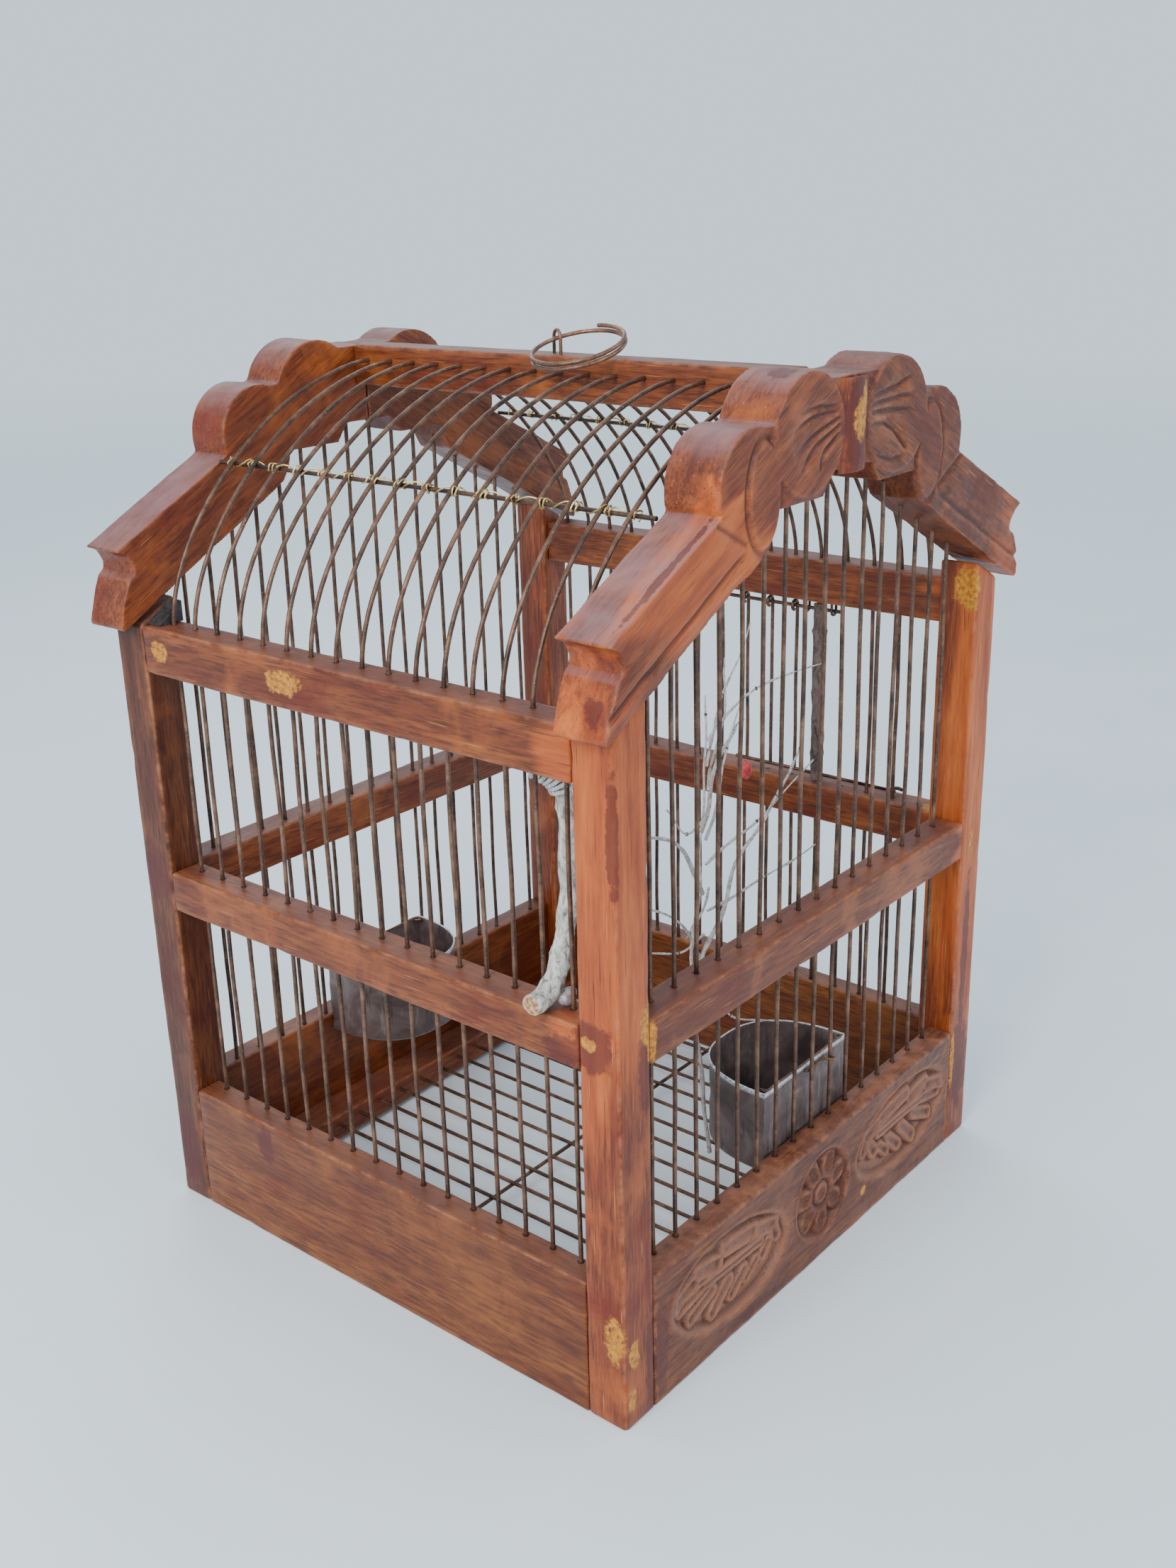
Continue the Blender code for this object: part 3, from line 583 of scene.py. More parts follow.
def beam(node, along, material, radius=0.0011, top=None, rough=0.00022):
    """A worn wooden beam in the place of a box-shaped CAD node, its edges rounded by hand and wear."""
    low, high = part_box(node)
    axis = "xyz".index(along)
    others = [k for k in range(3) if k != axis]
    centre = (low + high) / 2
    size = high - low
    length = size[axis]
    ring = section(size[others[0]], size[others[1]], radius)
    steps = max(8, round(length / 0.007))
    places = [(0, 0.55), (0.35 * radius, 0.2), (radius, 0)]
    places += [(length * k / steps, 0) for k in range(1, steps)]
    places += [(length - radius, 0), (length - 0.35 * radius, 0.2), (length, 0.55)]
    shape = bmesh.new()
    rings = []
    edge_marks = []
    for place, inset in places:
        made = []
        for u, v, edge in ring:
            reach_u = u * (1 - inset * radius / (size[others[0]] / 2))
            reach_v = v * (1 - inset * radius / (size[others[1]] / 2))
            point = Vector((0, 0, 0))
            point[others[0]] = centre[others[0]] + reach_u
            point[others[1]] = centre[others[1]] + reach_v
            point[axis] = low[axis] + place
            if top is not None:
                point[axis] = low[axis] + place * (top(point) - low[axis]) / length
            outward = Vector((0, 0, 0))
            outward[others[0]], outward[others[1]] = u, v
            outward.normalize()
            nick = min(0.0, noise.noise(point * 210) + 0.25) * 0.0011 * edge
            point += outward * (wobble(point, rough, 26) + wobble(point, rough * 0.35, 140) + nick)
            made.append(shape.verts.new(point))
            edge_marks.append(edge)
        rings.append(made)
    bridge(shape, rings)
    shape.faces.new(rings[0])
    shape.faces.new(rings[-1])
    bmesh.ops.recalc_face_normals(shape, faces=shape.faces)
    mesh = mesh_from(shape, node + "_worn")
    set_marks(mesh, "wear", edge_marks)
    set_marks(mesh, "dirt_and_shade", [0.0] * len(edge_marks))
    mesh.shade_smooth()
    mesh.set_sharp_from_angle(angle=math.radians(50))
    return show(node + "_worn", mesh, material, "frame", "varnished_wood", node)


def wires(name, routes, radius, material, body="frame", slot="rusty_wire", nodes=(), resolution=3):
    """Round wires along their routes, as one curve."""
    data = bpy.data.curves.new(name, "CURVE")
    data.dimensions = "3D"
    data.bevel_depth = radius
    data.bevel_resolution = resolution
    data.use_fill_caps = True
    for route in routes:
        spline = data.splines.new("POLY")
        spline.points.add(len(route) - 1)
        spline.use_smooth = True
        for point, place in zip(spline.points, route):
            point.co = (*place, 1)
    return show(name, data, material, body, slot, *nodes)


def smooth_route(points, steps):
    """A Catmull-Rom curve through the points."""
    points = [Vector(p) for p in points]
    points = [2 * points[0] - points[1], *points, 2 * points[-1] - points[-2]]
    route = []
    for a, b, c, d in zip(points, points[1:], points[2:], points[3:]):
        for k in range(steps):
            t = k / steps
            squared = (2 * a - 5 * b + 4 * c - d) * t**2
            cubed = (3 * b - a - 3 * c + d) * t**3
            route.append(0.5 * (2 * b + (c - a) * t + squared + cubed))
    return route + [points[-2]]


def arc(centre, radius, start, end, steps):
    """Points on an arc in a plane, angles in degrees."""
    turn = [math.radians(start + (end - start) * k / steps) for k in range(steps + 1)]
    return [(centre[0] + radius * math.cos(a), centre[1] + radius * math.sin(a)) for a in turn]


def plate_mesh(outline, front, back):
    """A closed plate from an outline in X and Z, from y = front to y = back."""
    shape = bmesh.new()
    face = shape.faces.new([shape.verts.new((x, front, z)) for x, z in outline])
    grown = bmesh.ops.extrude_face_region(shape, geom=[face])
    moved = [item for item in grown["geom"] if isinstance(item, bmesh.types.BMVert)]
    bmesh.ops.translate(shape, verts=moved, vec=(0, back - front, 0))
    bmesh.ops.triangulate(shape, faces=shape.faces)
    bmesh.ops.recalc_face_normals(shape, faces=shape.faces)
    return shape


def voxelled(shape, size, smoothing):
    """A closed shape meshed evenly, with softly rounded edges."""
    mesh = mesh_from(shape, "joined")
    obj = bpy.data.objects.new("joined", mesh)
    bpy.context.scene.collection.objects.link(obj)
    remesh = obj.modifiers.new("Remesh", "REMESH")
    remesh.mode = "VOXEL"
    remesh.voxel_size = size
    soften = obj.modifiers.new("Smooth", "SMOOTH")
    soften.iterations = smoothing
    soften.factor = 0.5
    graph = bpy.context.evaluated_depsgraph_get()
    made = bpy.data.meshes.new_from_object(obj.evaluated_get(graph))
    bpy.data.objects.remove(obj)
    return made


def hollow(distance, width):
    """A smooth groove across a distance, 1 at the middle."""
    return np.exp(-((distance / width) ** 2))


def step_in(value, low, high):
    """Smoothly 0 below low and 1 above high."""
    share = np.clip((value - low) / (high - low), 0, 1)
    return share * share * (3 - 2 * share)


def line_distance(a, z, start, end):
    """Distance of points from a straight stretch, and how far along it they are, from 0 to 1."""
    start, end = np.array(start), np.array(end)
    along = end - start
    share = ((a - start[0]) * along[0] + (z - start[1]) * along[1]) / (along @ along)
    held = np.clip(share, 0, 1)
    return np.hypot(a - start[0] - held * along[0], z - start[1] - held * along[1]), share


# ---------------------------------------------------------------- posts, rails, boards

POST_TOP_DROP = 0.012


def build_posts():
    half_width = -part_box("post_front_left")[0].x
    inner = -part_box("post_front_left")[1].x
    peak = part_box("post_front_left")[1].z
    slope = POST_TOP_DROP / (half_width - inner)
    for node in ("post_front_left", "post_front_right", "post_back_left", "post_back_right"):
        # The back left post takes the darker, bluer copy of the post wood: painted shade
        beam(
            node, "z", wood_post_shaded if node == "post_back_left" else wood_post, 0.0017,
            top=lambda point: peak - (abs(point.x) - inner) * slope, rough=0.0003,
        )


def build_rails():
    for node in ("base_board_left", "base_board_right"):
        beam(node, "y", wood_board, 0.0012)
    beam("base_board_back", "x", wood_x, 0.0012)
    for end in ("front", "back"):
        beam(f"mid_rail_{end}", "x", wood_x, 0.0013, rough=0.0003)
        beam(f"floor_ledge_{end}", "x", wood_x, 0.0012)
    for hand in ("left", "right"):
        beam(f"mid_rail_{hand}", "y", wood_y, 0.0013, rough=0.0003)
        beam(f"eave_rail_{hand}", "y", wood_y, 0.0014, rough=0.0003)
    beam("ridge_beam", "y", wood_y, 0.0015)


# ---------------------------------------------------------------- carved front board

# The carved leaf left of the rosette, in its own axes and mm: ends and half width of each spoon-shaped cut
SCOOPS = (
    ((-43.5, 3.2), (-32.4, 6.8), 4.0),
    ((-28.4, 11.0), (-13.2, 9.6), 4.4),
    ((-5.9, 15.0), (19.3, 13.6), 4.5),
    ((19.3, 13.6), (37.0, 9.8), 4.2),
    ((37.0, 9.8), (41.0, 2.2), 3.6),
    ((33.0, 1.6), (29.2, -3.4), 3.9),
    ((-26.0, 1.2), (-43.0, -3.4), 3.1),
    ((-16.2, -3.8), (-32.5, -12.2), 3.7),
    ((-2.0, -4.6), (-14.0, -17.4), 4.0),
    ((12.2, -4.8), (2.5, -14.4), 3.7),
    ((23.2, -3.6), (15.6, -11.0), 3.2),
)
STEM = ((-46.0, -0.2), (-15.0, 3.2), (25.1, 5.8))
# Where the two ovals are: centre, half sizes, tilt, and 1 or -1 for the leaf or its mirror image
OVALS = (
    ((-0.0799, 0.0387), (0.0520, 0.0262), -6.0, 1),
    ((0.0897, 0.0410), (0.0515, 0.0255), 3.6, -1),
)
ROSETTE = (0.0042, 0.0390)
ROSETTE_RADIUS = 0.0262
PETALS = 7


def in_oval(x, z, oval):
    """Offsets along and across an oval, and the distance from its centre as a share of its size."""
    centre, sizes, tilt, _ = oval
    turn = math.radians(tilt)
    u = (x - centre[0]) * math.cos(turn) + (z - centre[1]) * math.sin(turn)
    w = -(x - centre[0]) * math.sin(turn) + (z - centre[1]) * math.cos(turn)
    return u, w, np.hypot(u / sizes[0], w / sizes[1])


def carved_leaf(x, z, oval):
    """Depth of the carving of one oval with a leaf left standing in it, in metres."""
    hand = oval[3]
    u, w, rim = in_oval(x, z, oval)
    inside = step_in(1.0 - rim, 0.0, 0.15)
    depth = 0.0038 * inside
    u, w = hand * u * 1000, w * 1000
    body = np.zeros_like(x)
    scoop = np.zeros_like(x)
    for start, end, width in SCOOPS:
        reach, share = line_distance(u, w, start, end)
        body = np.maximum(body, np.clip(1 - (reach / (1.45 * width)) ** 4, 0, 1))
        spoon = np.clip(1 - (reach / (0.88 * width)) ** 2, 0, 1) * (0.65 + 0.35 * np.clip(share, 0, 1))
        scoop = np.maximum(scoop, spoon)
    stem = np.full_like(x, 99.0)
    for start, end in zip(STEM, STEM[1:]):
        stem = np.minimum(stem, line_distance(u, w, start, end)[0])
    body = np.maximum(body, np.clip(1 - (stem / 4.6) ** 4, 0, 1))
    depth -= 0.0033 * body * inside
    depth += 0.0023 * scoop * inside
    depth += 0.0009 * hollow(stem, 0.8) * inside * (1 - 0.6 * scoop)
    return depth - 0.0004 * hollow(rim - 1.04, 0.04)


def carved_rosette(x, z):
    u, w = x - ROSETTE[0], z - ROSETTE[1]
    radius = np.hypot(u, w)
    inside = step_in(ROSETTE_RADIUS - radius, 0.0, 0.0042)
    around = ((np.arctan2(w, u) * PETALS / (2 * math.pi)) + 0.2) % 1 - 0.5
    across = around * 2 * math.pi / PETALS * np.clip(radius, 0.009, 0.019)
    petal = np.clip(1 - ((radius - 0.0155) / 0.0088) ** 4 - (across / 0.0072) ** 4, 0, 1) ** 0.7
    cup = np.clip(1 - ((radius - 0.0170) / 0.0058) ** 2 - (across / 0.0043) ** 2, 0, 1) ** 0.8
    boss = np.clip(1 - (radius / 0.0080) ** 4, 0, 1) ** 0.7
    eye_cut = np.clip(1 - (radius / 0.0052) ** 2, 0, 1)
    depth = 0.0038 * inside
    depth -= 0.0034 * np.maximum(petal, boss)
    depth += 0.0022 * cup + 0.0012 * eye_cut
    return depth - 0.0004 * hollow(radius - ROSETTE_RADIUS - 0.0008, 0.001)


def build_carved_board():
    """The front board as one fine grid pushed back where it's carved, closed round its rim and behind."""
    low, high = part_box("base_board_front")
    step = 0.0008
    columns = round((high.x - low.x) / step) + 1
    rows = round((high.z - low.z) / step) + 1
    x, z = np.meshgrid(np.linspace(low.x, high.x, columns), np.linspace(low.z, high.z, rows))
    depth = carved_rosette(x, z)
    for oval in OVALS:
        depth = depth + carved_leaf(x, z, oval)
    edge = np.minimum(np.minimum(x - low.x, high.x - x), np.minimum(z - low.z, high.z - z))
    round_off = 0.0011 * (1 - np.sqrt(np.clip(1 - (1 - np.clip(edge / 0.0011, 0, 1)) ** 2, 0, 1)))
    rough = np.array([
        wobble((a, 0, b), 0.00035, 40) + wobble((a, 0, b), 0.00016, 190) for a, b in zip(x.ravel(), z.ravel())
    ]).reshape(x.shape)
    # Chisel marks in the sunk ground
    chisel = 0.00018 * np.sin(x * 2600 + 3 * np.sin(z * 700)) * np.clip(depth / 0.003, 0, 1)
    front = low.y + np.maximum(depth + round_off + rough + chisel, -0.0006)
    points = np.stack([x, front, z], -1).reshape(-1, 3)
    shape = bmesh.new()
    grid = [shape.verts.new(p) for p in points]
    for r in range(rows - 1):
        for c in range(columns - 1):
            k = r * columns + c
            shape.faces.new((grid[k], grid[k + 1], grid[k + columns + 1], grid[k + columns]))
    rim = [grid[c] for c in range(columns)]
    rim += [grid[r * columns + columns - 1] for r in range(1, rows)]
    rim += [grid[(rows - 1) * columns + c] for c in range(columns - 2, -1, -1)]
    rim += [grid[r * columns] for r in range(rows - 2, 0, -1)]
    loops = [rim]
    for y, inset in ((high.y - 0.0012, 0), (high.y - 0.0004, 0.0004), (high.y, 0.0012)):
        made = []
        for vert in rim:
            a = min(max(vert.co.x, low.x + inset), high.x - inset)
            b = min(max(vert.co.z, low.z + inset), high.z - inset)
            made.append(shape.verts.new((a, y, b)))
        loops.append(made)
    bridge(shape, loops)
    shape.faces.new(loops[-1])
    bmesh.ops.recalc_face_normals(shape, faces=shape.faces)
    mesh = mesh_from(shape, "carved_board")
    mark_curvature(mesh, 11000, 3)
    pale = np.zeros(len(mesh.vertices))
    for oval in OVALS:
        pale[: x.size] = np.maximum(pale[: x.size], step_in(1.06 - in_oval(x, z, oval)[2], 0.0, 0.12).ravel())
    set_marks(mesh, "pale", pale.tolist())
    mesh.shade_smooth()
    mesh.set_sharp_from_angle(angle=math.radians(60))
    show("carved_board", mesh, wood_carved, "frame", "carved_wood", "base_board_front")


# ---------------------------------------------------------------- gables

TIP = (0.1775, 0.3845)
NOTCH = (0.1675, 0.3755)
DROP_END = (0.1795, 0.3455)
UNDER_OUTER = (0.1775, 0.3435)
UNDER_INNER = (0.0650, 0.4035)
# The steps of the gable's lower edge near the middle: how far out each goes and how high it is
CROWN_EDGE, CROWN_LOW = 0.0170, 0.4285
ARCH_EDGE, ARCH_LOW = 0.0605, 0.4190
FAN_CENTRE, FAN_RADIUS = (0.0365, 0.4465), 0.0290
LOBE_CENTRE, LOBE_RADIUS = (0.0780, 0.4305), 0.0260
FAN_DISC, FAN_SIZES = (0.0375, 0.4480), (0.0283, 0.0270)
# Thin cuts in the two front fans, fanning out from the keystone, as points in X and Z
FAN_CUTS = {
    -1: (
        ((0.0136, 0.4577), (0.0287, 0.4588), (0.0450, 0.4573)),
        ((0.0136, 0.4562), (0.0322, 0.4550), (0.0500, 0.4504)),
        ((0.0136, 0.4530), (0.0300, 0.4475), (0.0470, 0.4410)),
        ((0.0140, 0.4495), (0.0320, 0.4415), (0.0440, 0.4330)),
        ((0.0150, 0.4455), (0.0250, 0.4390), (0.0311, 0.4290)),
    ),
    1: (
        ((0.0136, 0.4582), (0.0377, 0.4605), (0.0498, 0.4650)),
        ((0.0136, 0.4547), (0.0347, 0.4553), (0.0539, 0.4562)),
        ((0.0136, 0.4511), (0.0351, 0.4503), (0.0527, 0.4487)),
        ((0.0136, 0.4458), (0.0269, 0.4450), (0.0356, 0.4413), (0.0431, 0.4348), (0.0490, 0.4285)),
        ((0.0159, 0.4323), (0.0334, 0.4272), (0.0490, 0.4285)),
    ),
}


def gable_outline():
    top = [(0.0002, 0.4705), (0.0160, 0.4700)]
    fan = arc(FAN_CENTRE, FAN_RADIUS, 125, 18, 16)
    lobe = arc(LOBE_CENTRE, LOBE_RADIUS, 108, -18, 16)
    end = [TIP, (0.1710, 0.3815), NOTCH, (0.1680, 0.3715), (0.1715, 0.3690), (0.1765, 0.3570), DROP_END]
    under = [UNDER_OUTER, UNDER_INNER, (ARCH_EDGE, 0.4110), (0.0590, ARCH_LOW), (0.0240, ARCH_LOW)]
    return top + fan + lobe + end + under + [(CROWN_EDGE, CROWN_LOW), (0.0002, CROWN_LOW)]


def carve_gable(points, side):
    """Move the front face back where it's carved, and the fan forward."""
    x, y, z = side * points[:, 0], points[:, 1], points[:, 2]
    on_front = step_in(-y, -gable_face - 0.0118, -gable_face - 0.0082)
    # The fan: a dished disc that stands forward, with thin cuts fanning out from the keystone
    radius = np.hypot((x - FAN_DISC[0]) / FAN_SIZES[0], (z - FAN_DISC[1]) / FAN_SIZES[1])
    shell = 1 - step_in(radius, 0.94, 1.03)
    dish = 0.0026 * np.clip(1 - (radius / 0.92) ** 2, 0, 1) ** 0.7
    cuts = np.zeros_like(x)
    for route in FAN_CUTS[side]:
        for number, (start, end) in enumerate(zip(route, route[1:])):
            reach, share = line_distance(x, z, start, end)
            last = number == len(route) - 2
            fade = 1 - 0.75 * step_in(share, 0.3, 1.0) if last else 1.0
            cuts = np.maximum(cuts, hollow(reach, 0.0009) * fade + 0.45 * hollow(reach, 0.0028) * fade)
    fan = shell * (0.0030 - dish) - 0.0015 * cuts * (1 - step_in(radius, 0.86, 0.97))
    # Beside the fan a smaller swelling stands in front of the outer lobe
    beyond = 1 - shell
    swell = np.hypot((x - 0.0715) / 0.0125, (z - 0.4265) / 0.0235)
    bulge = 0.0026 * np.clip(1 - swell**2, 0, 1) ** 0.6 * beyond
    bulge -= 0.0011 * hollow(swell - 1.05, 0.09) * beyond
    fold = line_distance(x, z, (0.104, 0.4190), (0.084, 0.4080))[0]
    bulge -= 0.0013 * hollow(fold, 0.0016) * beyond
    # A soft groove runs down the rake above the lower edge, and the wood slopes back below it
    slope = (UNDER_OUTER[1] - UNDER_INNER[1]) / (UNDER_OUTER[0] - UNDER_INNER[0])
    above = (z - (UNDER_INNER[1] + slope * (x - UNDER_INNER[0]))) * math.cos(math.atan(slope))
    on_rake = step_in(x, 0.078, 0.092)
    groove = 0.0019 * hollow(above - 0.0098, 0.0017) * on_rake
    slant = 0.0016 * np.clip(1 - above / 0.0090, 0, 1) * on_rake
    # The tip is undercut to a nib above the scroll at its end
    nib = 0.0012 * hollow(np.hypot(x - 0.1700, z - 0.3735), 0.0045)
    move = fan + bulge - groove - slant - nib
    points[:, 1] -= move * on_front
    return points


def roughness_of(mesh, points, coarse, fine, sunk):
    """How far each point moves along its normal for the surface to look hand-cut."""
    rough = np.array([wobble(p, *coarse) + wobble(p, *fine) for p in points])
    return vertex_array(mesh, "normal") * (rough - sunk)[:, None]


def show_carved(node, ending, mesh, points, material):
    mesh.vertices.foreach_set("co", points.ravel())
    mesh.update()
    mark_curvature(mesh, 7000, 2)
    mesh.shade_smooth()
    show(node + ending, mesh, material, "frame", "carved_wood", node)


def build_gable(node, side, facing):
    front, back = facing * abs(gable_face), facing * abs(gable_back)
    outline = [(side * x, z) for x, z in gable_outline()]
    if side < 0:
        outline.reverse()
    mesh = voxelled(plate_mesh(outline, front, back), 0.0010, 3)
    points = vertex_array(mesh)
    if facing < 0:
        points = carve_gable(points, side)
    points += roughness_of(mesh, points, (0.0005, 55), (0.00022, 170), 0.00015)
    low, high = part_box(node)
    points[:, 0] = np.clip(points[:, 0], low.x, high.x)
    points[:, 1] = np.clip(points[:, 1], low.y - 0.001, high.y)
    show_carved(node, "_carved", mesh, points, wood_left if side < 0 else wood_right)


def build_keystone(node, facing):
    """A barrel-faced block over the joint of the gable's halves."""
    low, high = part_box(node)
    shape = plate_mesh([(low.x, low.z), (low.x, high.z), (high.x, high.z), (high.x, low.z)], low.y, high.y)
    mesh = voxelled(shape, 0.0007, 4)
    points = vertex_array(mesh)
    outer = low.y if facing < 0 else high.y
    across = np.clip(np.abs(points[:, 0]) / high.x, 0, 1)
    share = np.clip(1 - np.abs(points[:, 1] - outer) / 0.006, 0, 1)
    points[:, 1] -= facing * 0.0030 * across**2 * share
    taper = (high.z - points[:, 2]) / (high.z - low.z)
    points[:, 0] *= 1 - 0.10 * taper**2
    points += roughness_of(mesh, points, (0.0004, 60), (0.00015, 200), 0.0001)
    show_carved(node, "_shaped", mesh, points, wood_key)


# ---------------------------------------------------------------- wires

def underside(x):
    """Height of the gable's lower edge at a distance from the middle."""
    x = abs(x)
    if x < CROWN_EDGE:
        return CROWN_LOW
    if x < ARCH_EDGE:
        return ARCH_LOW
    share = (x - UNDER_INNER[0]) / (UNDER_OUTER[0] - UNDER_INNER[0])
    return UNDER_INNER[1] + share * (UNDER_OUTER[1] - UNDER_INNER[1])


def bent(start, end, steps, size, seed):
    """A nearly straight wire, held at both ends."""
    start, end = Vector(start), Vector(end)
    route = []
    for k in range(steps + 1):
        share = k / steps
        point = start.lerp(end, share)
        free = math.sin(math.pi * share)
        push = Vector((noise.noise((share * 2.2, seed, 0.3)), noise.noise((seed, share * 2.2, 7.1)), 0.0))
        route.append(point + push * size * free)
    return route


def upright(x, y, low, high, seed, bend=0.0009):
    """One wall wire, straight through the middle rail and bent a little above and below it."""
    middle = (mid_low + mid_top) / 2
    lower = bent((x, y, low), (x, y, middle), 8, bend, seed)
    return lower + bent((x, y, middle), (x, y, high), 10, bend * 1.4, seed + 5)[1:]


def build_walls():
    low = board_top - 0.007
    for sign, end in ((-1, "front"), (1, "back")):
        y = sign * wire_y
        routes = [upright(x, y, low, underside(x) + 0.006, k * 3.3 + sign) for k, x in enumerate(lattice)]
        wires(f"upright_wires_{end}", routes, WIRE, steel, nodes=[f"wires_{end}"])
    top = (eave_low + eave_top) / 2
    groups = (
        ("left", -wire_x, range(WIRE_COUNT), top),
        ("right_front", wire_x, range(MISSING_WIRE), top),
        ("right_back", wire_x, range(ROD_HOOK, WIRE_COUNT), top),
        ("right_low", wire_x, range(MISSING_WIRE, ROD_HOOK), mid_top - 0.002),
    )
    for name, x, numbers, high in groups:
        routes = []
        for k in numbers:
            if name == "right_low":
                routes.append(bent((x, lattice[k], low), (x, lattice[k], high), 8, 0.0009, k * 2.1))
            else:
                routes.append(upright(x, lattice[k], low, high, k * 2.7 + x))
        wires(f"upright_wires_{name}", routes, WIRE, steel, nodes=[f"wires_{name}"])


def build_roof():
    reach = wire_x - ridge_side
    spring = eave_top + spring_height
    rod_turn = math.asin((ROD_HEIGHT / spring_height) ** (1 / ROOF_POWER))
    for side, hand in ((-1, "left"), (1, "right")):
        routes = []
        for k, y in enumerate(lattice):
            seed = 31 * k + 7 * side
            route = [(side * wire_x, y, (eave_low + eave_top) / 2)]
            for n in range(25):
                turn = n / 24 * math.pi / 2
                free = math.sin(2 * turn)
                swell = 1 + 0.010 * noise.noise((n * 0.10, seed, 2.0)) * free
                sway = 0.0016 * noise.noise((n * 0.12, seed, 5.0)) * free
                route.append((
                    side * (ridge_side + reach * max(math.cos(turn), 0.0) ** ROOF_POWER * swell),
                    y + sway,
                    eave_top + spring_height * math.sin(turn) ** ROOF_POWER * swell,
                ))
            route.append((side * 0.004, y, spring))
            routes.append(route)
        names = [f"roof_wires_{hand}_low", f"roof_wires_{hand}_high"]
        wires(f"roof_arches_{hand}", routes, WIRE, steel, nodes=names)
        build_rod(side, hand, rod_turn, reach)


ROD = 0.0011
COIL_STEPS = 22
COIL_OVER = 0.004
# Turns of the brass wire for each bay: between the arches, and added where it crosses one
COIL_BETWEEN, COIL_AT_WIRE = 0.9, 6.6


def build_rod(side, hand, rod_turn, reach):
    """The long rod inside the roof, bound to each arch with thin brass wire."""
    x = side * (ridge_side + reach * math.cos(rod_turn) ** ROOF_POWER - 0.0012)
    z = eave_top + ROD_HEIGHT - 0.0015
    end = abs(gable_back) - 0.0006
    rod = [(x, -end + 2 * end * k / 24, z) for k in range(25)]
    wires(f"roof_rod_{hand}", [rod], ROD, dark_steel)
    outward = Vector((side * math.cos(rod_turn), 0, math.sin(rod_turn))).normalized()
    across = Vector((-outward.z, 0, outward.x))
    route = []
    wire_at = Vector((x, 0, z)) + outward * ROD
    steps = COIL_STEPS * (len(lattice) - 1)
    turn = 0.0
    for k in range(steps + 1):
        step = k / COIL_STEPS
        base = lattice[0] - COIL_OVER + (lattice[-1] - lattice[0] + 2 * COIL_OVER) * k / steps
        near = min(1.0, max(0.0, (abs((step % 1) - 0.5) * 2 - 0.62) / 0.2))
        turn += 2 * math.pi / COIL_STEPS * (COIL_BETWEEN + COIL_AT_WIRE * near)
        wide = 0.0019 + 0.0009 * near + 0.0003 * noise.noise((step * 1.3, side, 0))
        point = wire_at + outward * wide * math.cos(turn) * 0.85 + across * wide * math.sin(turn)
        point.y = base + 0.0005 * math.sin(turn * 0.5)
        route.append(point)
    wires(f"rod_binding_{hand}", [smooth_route(route, 3)], 0.00042, brass_wire, resolution=2)


def build_floor_grid():
    low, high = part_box("floor_grid")
    level = high.z - WIRE
    routes = [bent((x, low.y, level), (x, high.y, level), 10, 0.0007, k * 1.9) for k, x in enumerate(lattice)]
    cross = bent((low.x, 0.003, low.z + WIRE), (high.x, 0.003, low.z + WIRE), 14, 0.0004, 77)
    wires("floor_wires", routes + [cross], WIRE, steel, nodes=["floor_grid"])


# ---------------------------------------------------------------- door, ring, cups

def turned(centre, radius, start, end, steps, fixed, across_y=True):
    flat = arc(centre, radius, start, end, steps)
    return [(a, fixed, b) for a, b in flat] if across_y else [(a, b, fixed) for a, b in flat]


def build_door():
    """The fixed rod and staples, and the wire flap and stick that hang from the rod."""
    low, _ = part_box("door_hinge_rod")
    hook = turned((wire_x, lattice[ROD_HOOK]), CURL, -80, 190, 18, hinge_z, across_y=False)
    straight = [(wire_x, low.y, hinge_z), (wire_x, lattice[ROD_HOOK] - 0.008, hinge_z)]
    wires("hinge_rod", [straight + hook], DOOR_WIRE, steel, nodes=["door_hinge_rod"])
    for name in ("door_staple_a", "door_staple_b"):
        low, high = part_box(name)
        y, half = (low.y + high.y) / 2, (high.x - low.x) / 2 - 0.0008
        bend = turned((wire_x, hinge_z), half, 180, 360, 12, y)
        legs = [(wire_x - half, y, high.z)] + bend + [(wire_x + half, y, high.z)]
        wires(name + "_round", [legs], 0.0008, steel, nodes=[name])
    plane = wire_x + CURL
    routes = []
    for k in DOOR_WIRES:
        curl = turned((wire_x, hinge_z), CURL, 0, 250, 16, lattice[k])
        hanging = bent((plane, lattice[k], door_bottom), (plane, lattice[k], hinge_z), 8, 0.0008, k)
        routes.append(hanging[:-1] + curl)
    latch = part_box("door_wires")[0].y + 0.0028 + 0.0011
    knob = turned((plane + 0.0028, latch), 0.0028, 180, -60, 14, door_bottom, across_y=False)
    routes.append([(plane, lattice[DOOR_WIRES[-1]] + 0.008, door_bottom)] + knob)
    wires("door_wire_frame", routes, DOOR_WIRE, steel, "door", nodes=["door_wires"])
    low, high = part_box("door_bar")
    bar_y = (low.y + high.y) / 2
    spine = [Vector((wire_x, bar_y, low.z + (high.z - low.z) * k / 40)) for k in range(41)]
    stick("door_stick", spine, [0.0038] * 41, brown_bark, "door", "door_bar", knobs=3, roughness=0.0005)


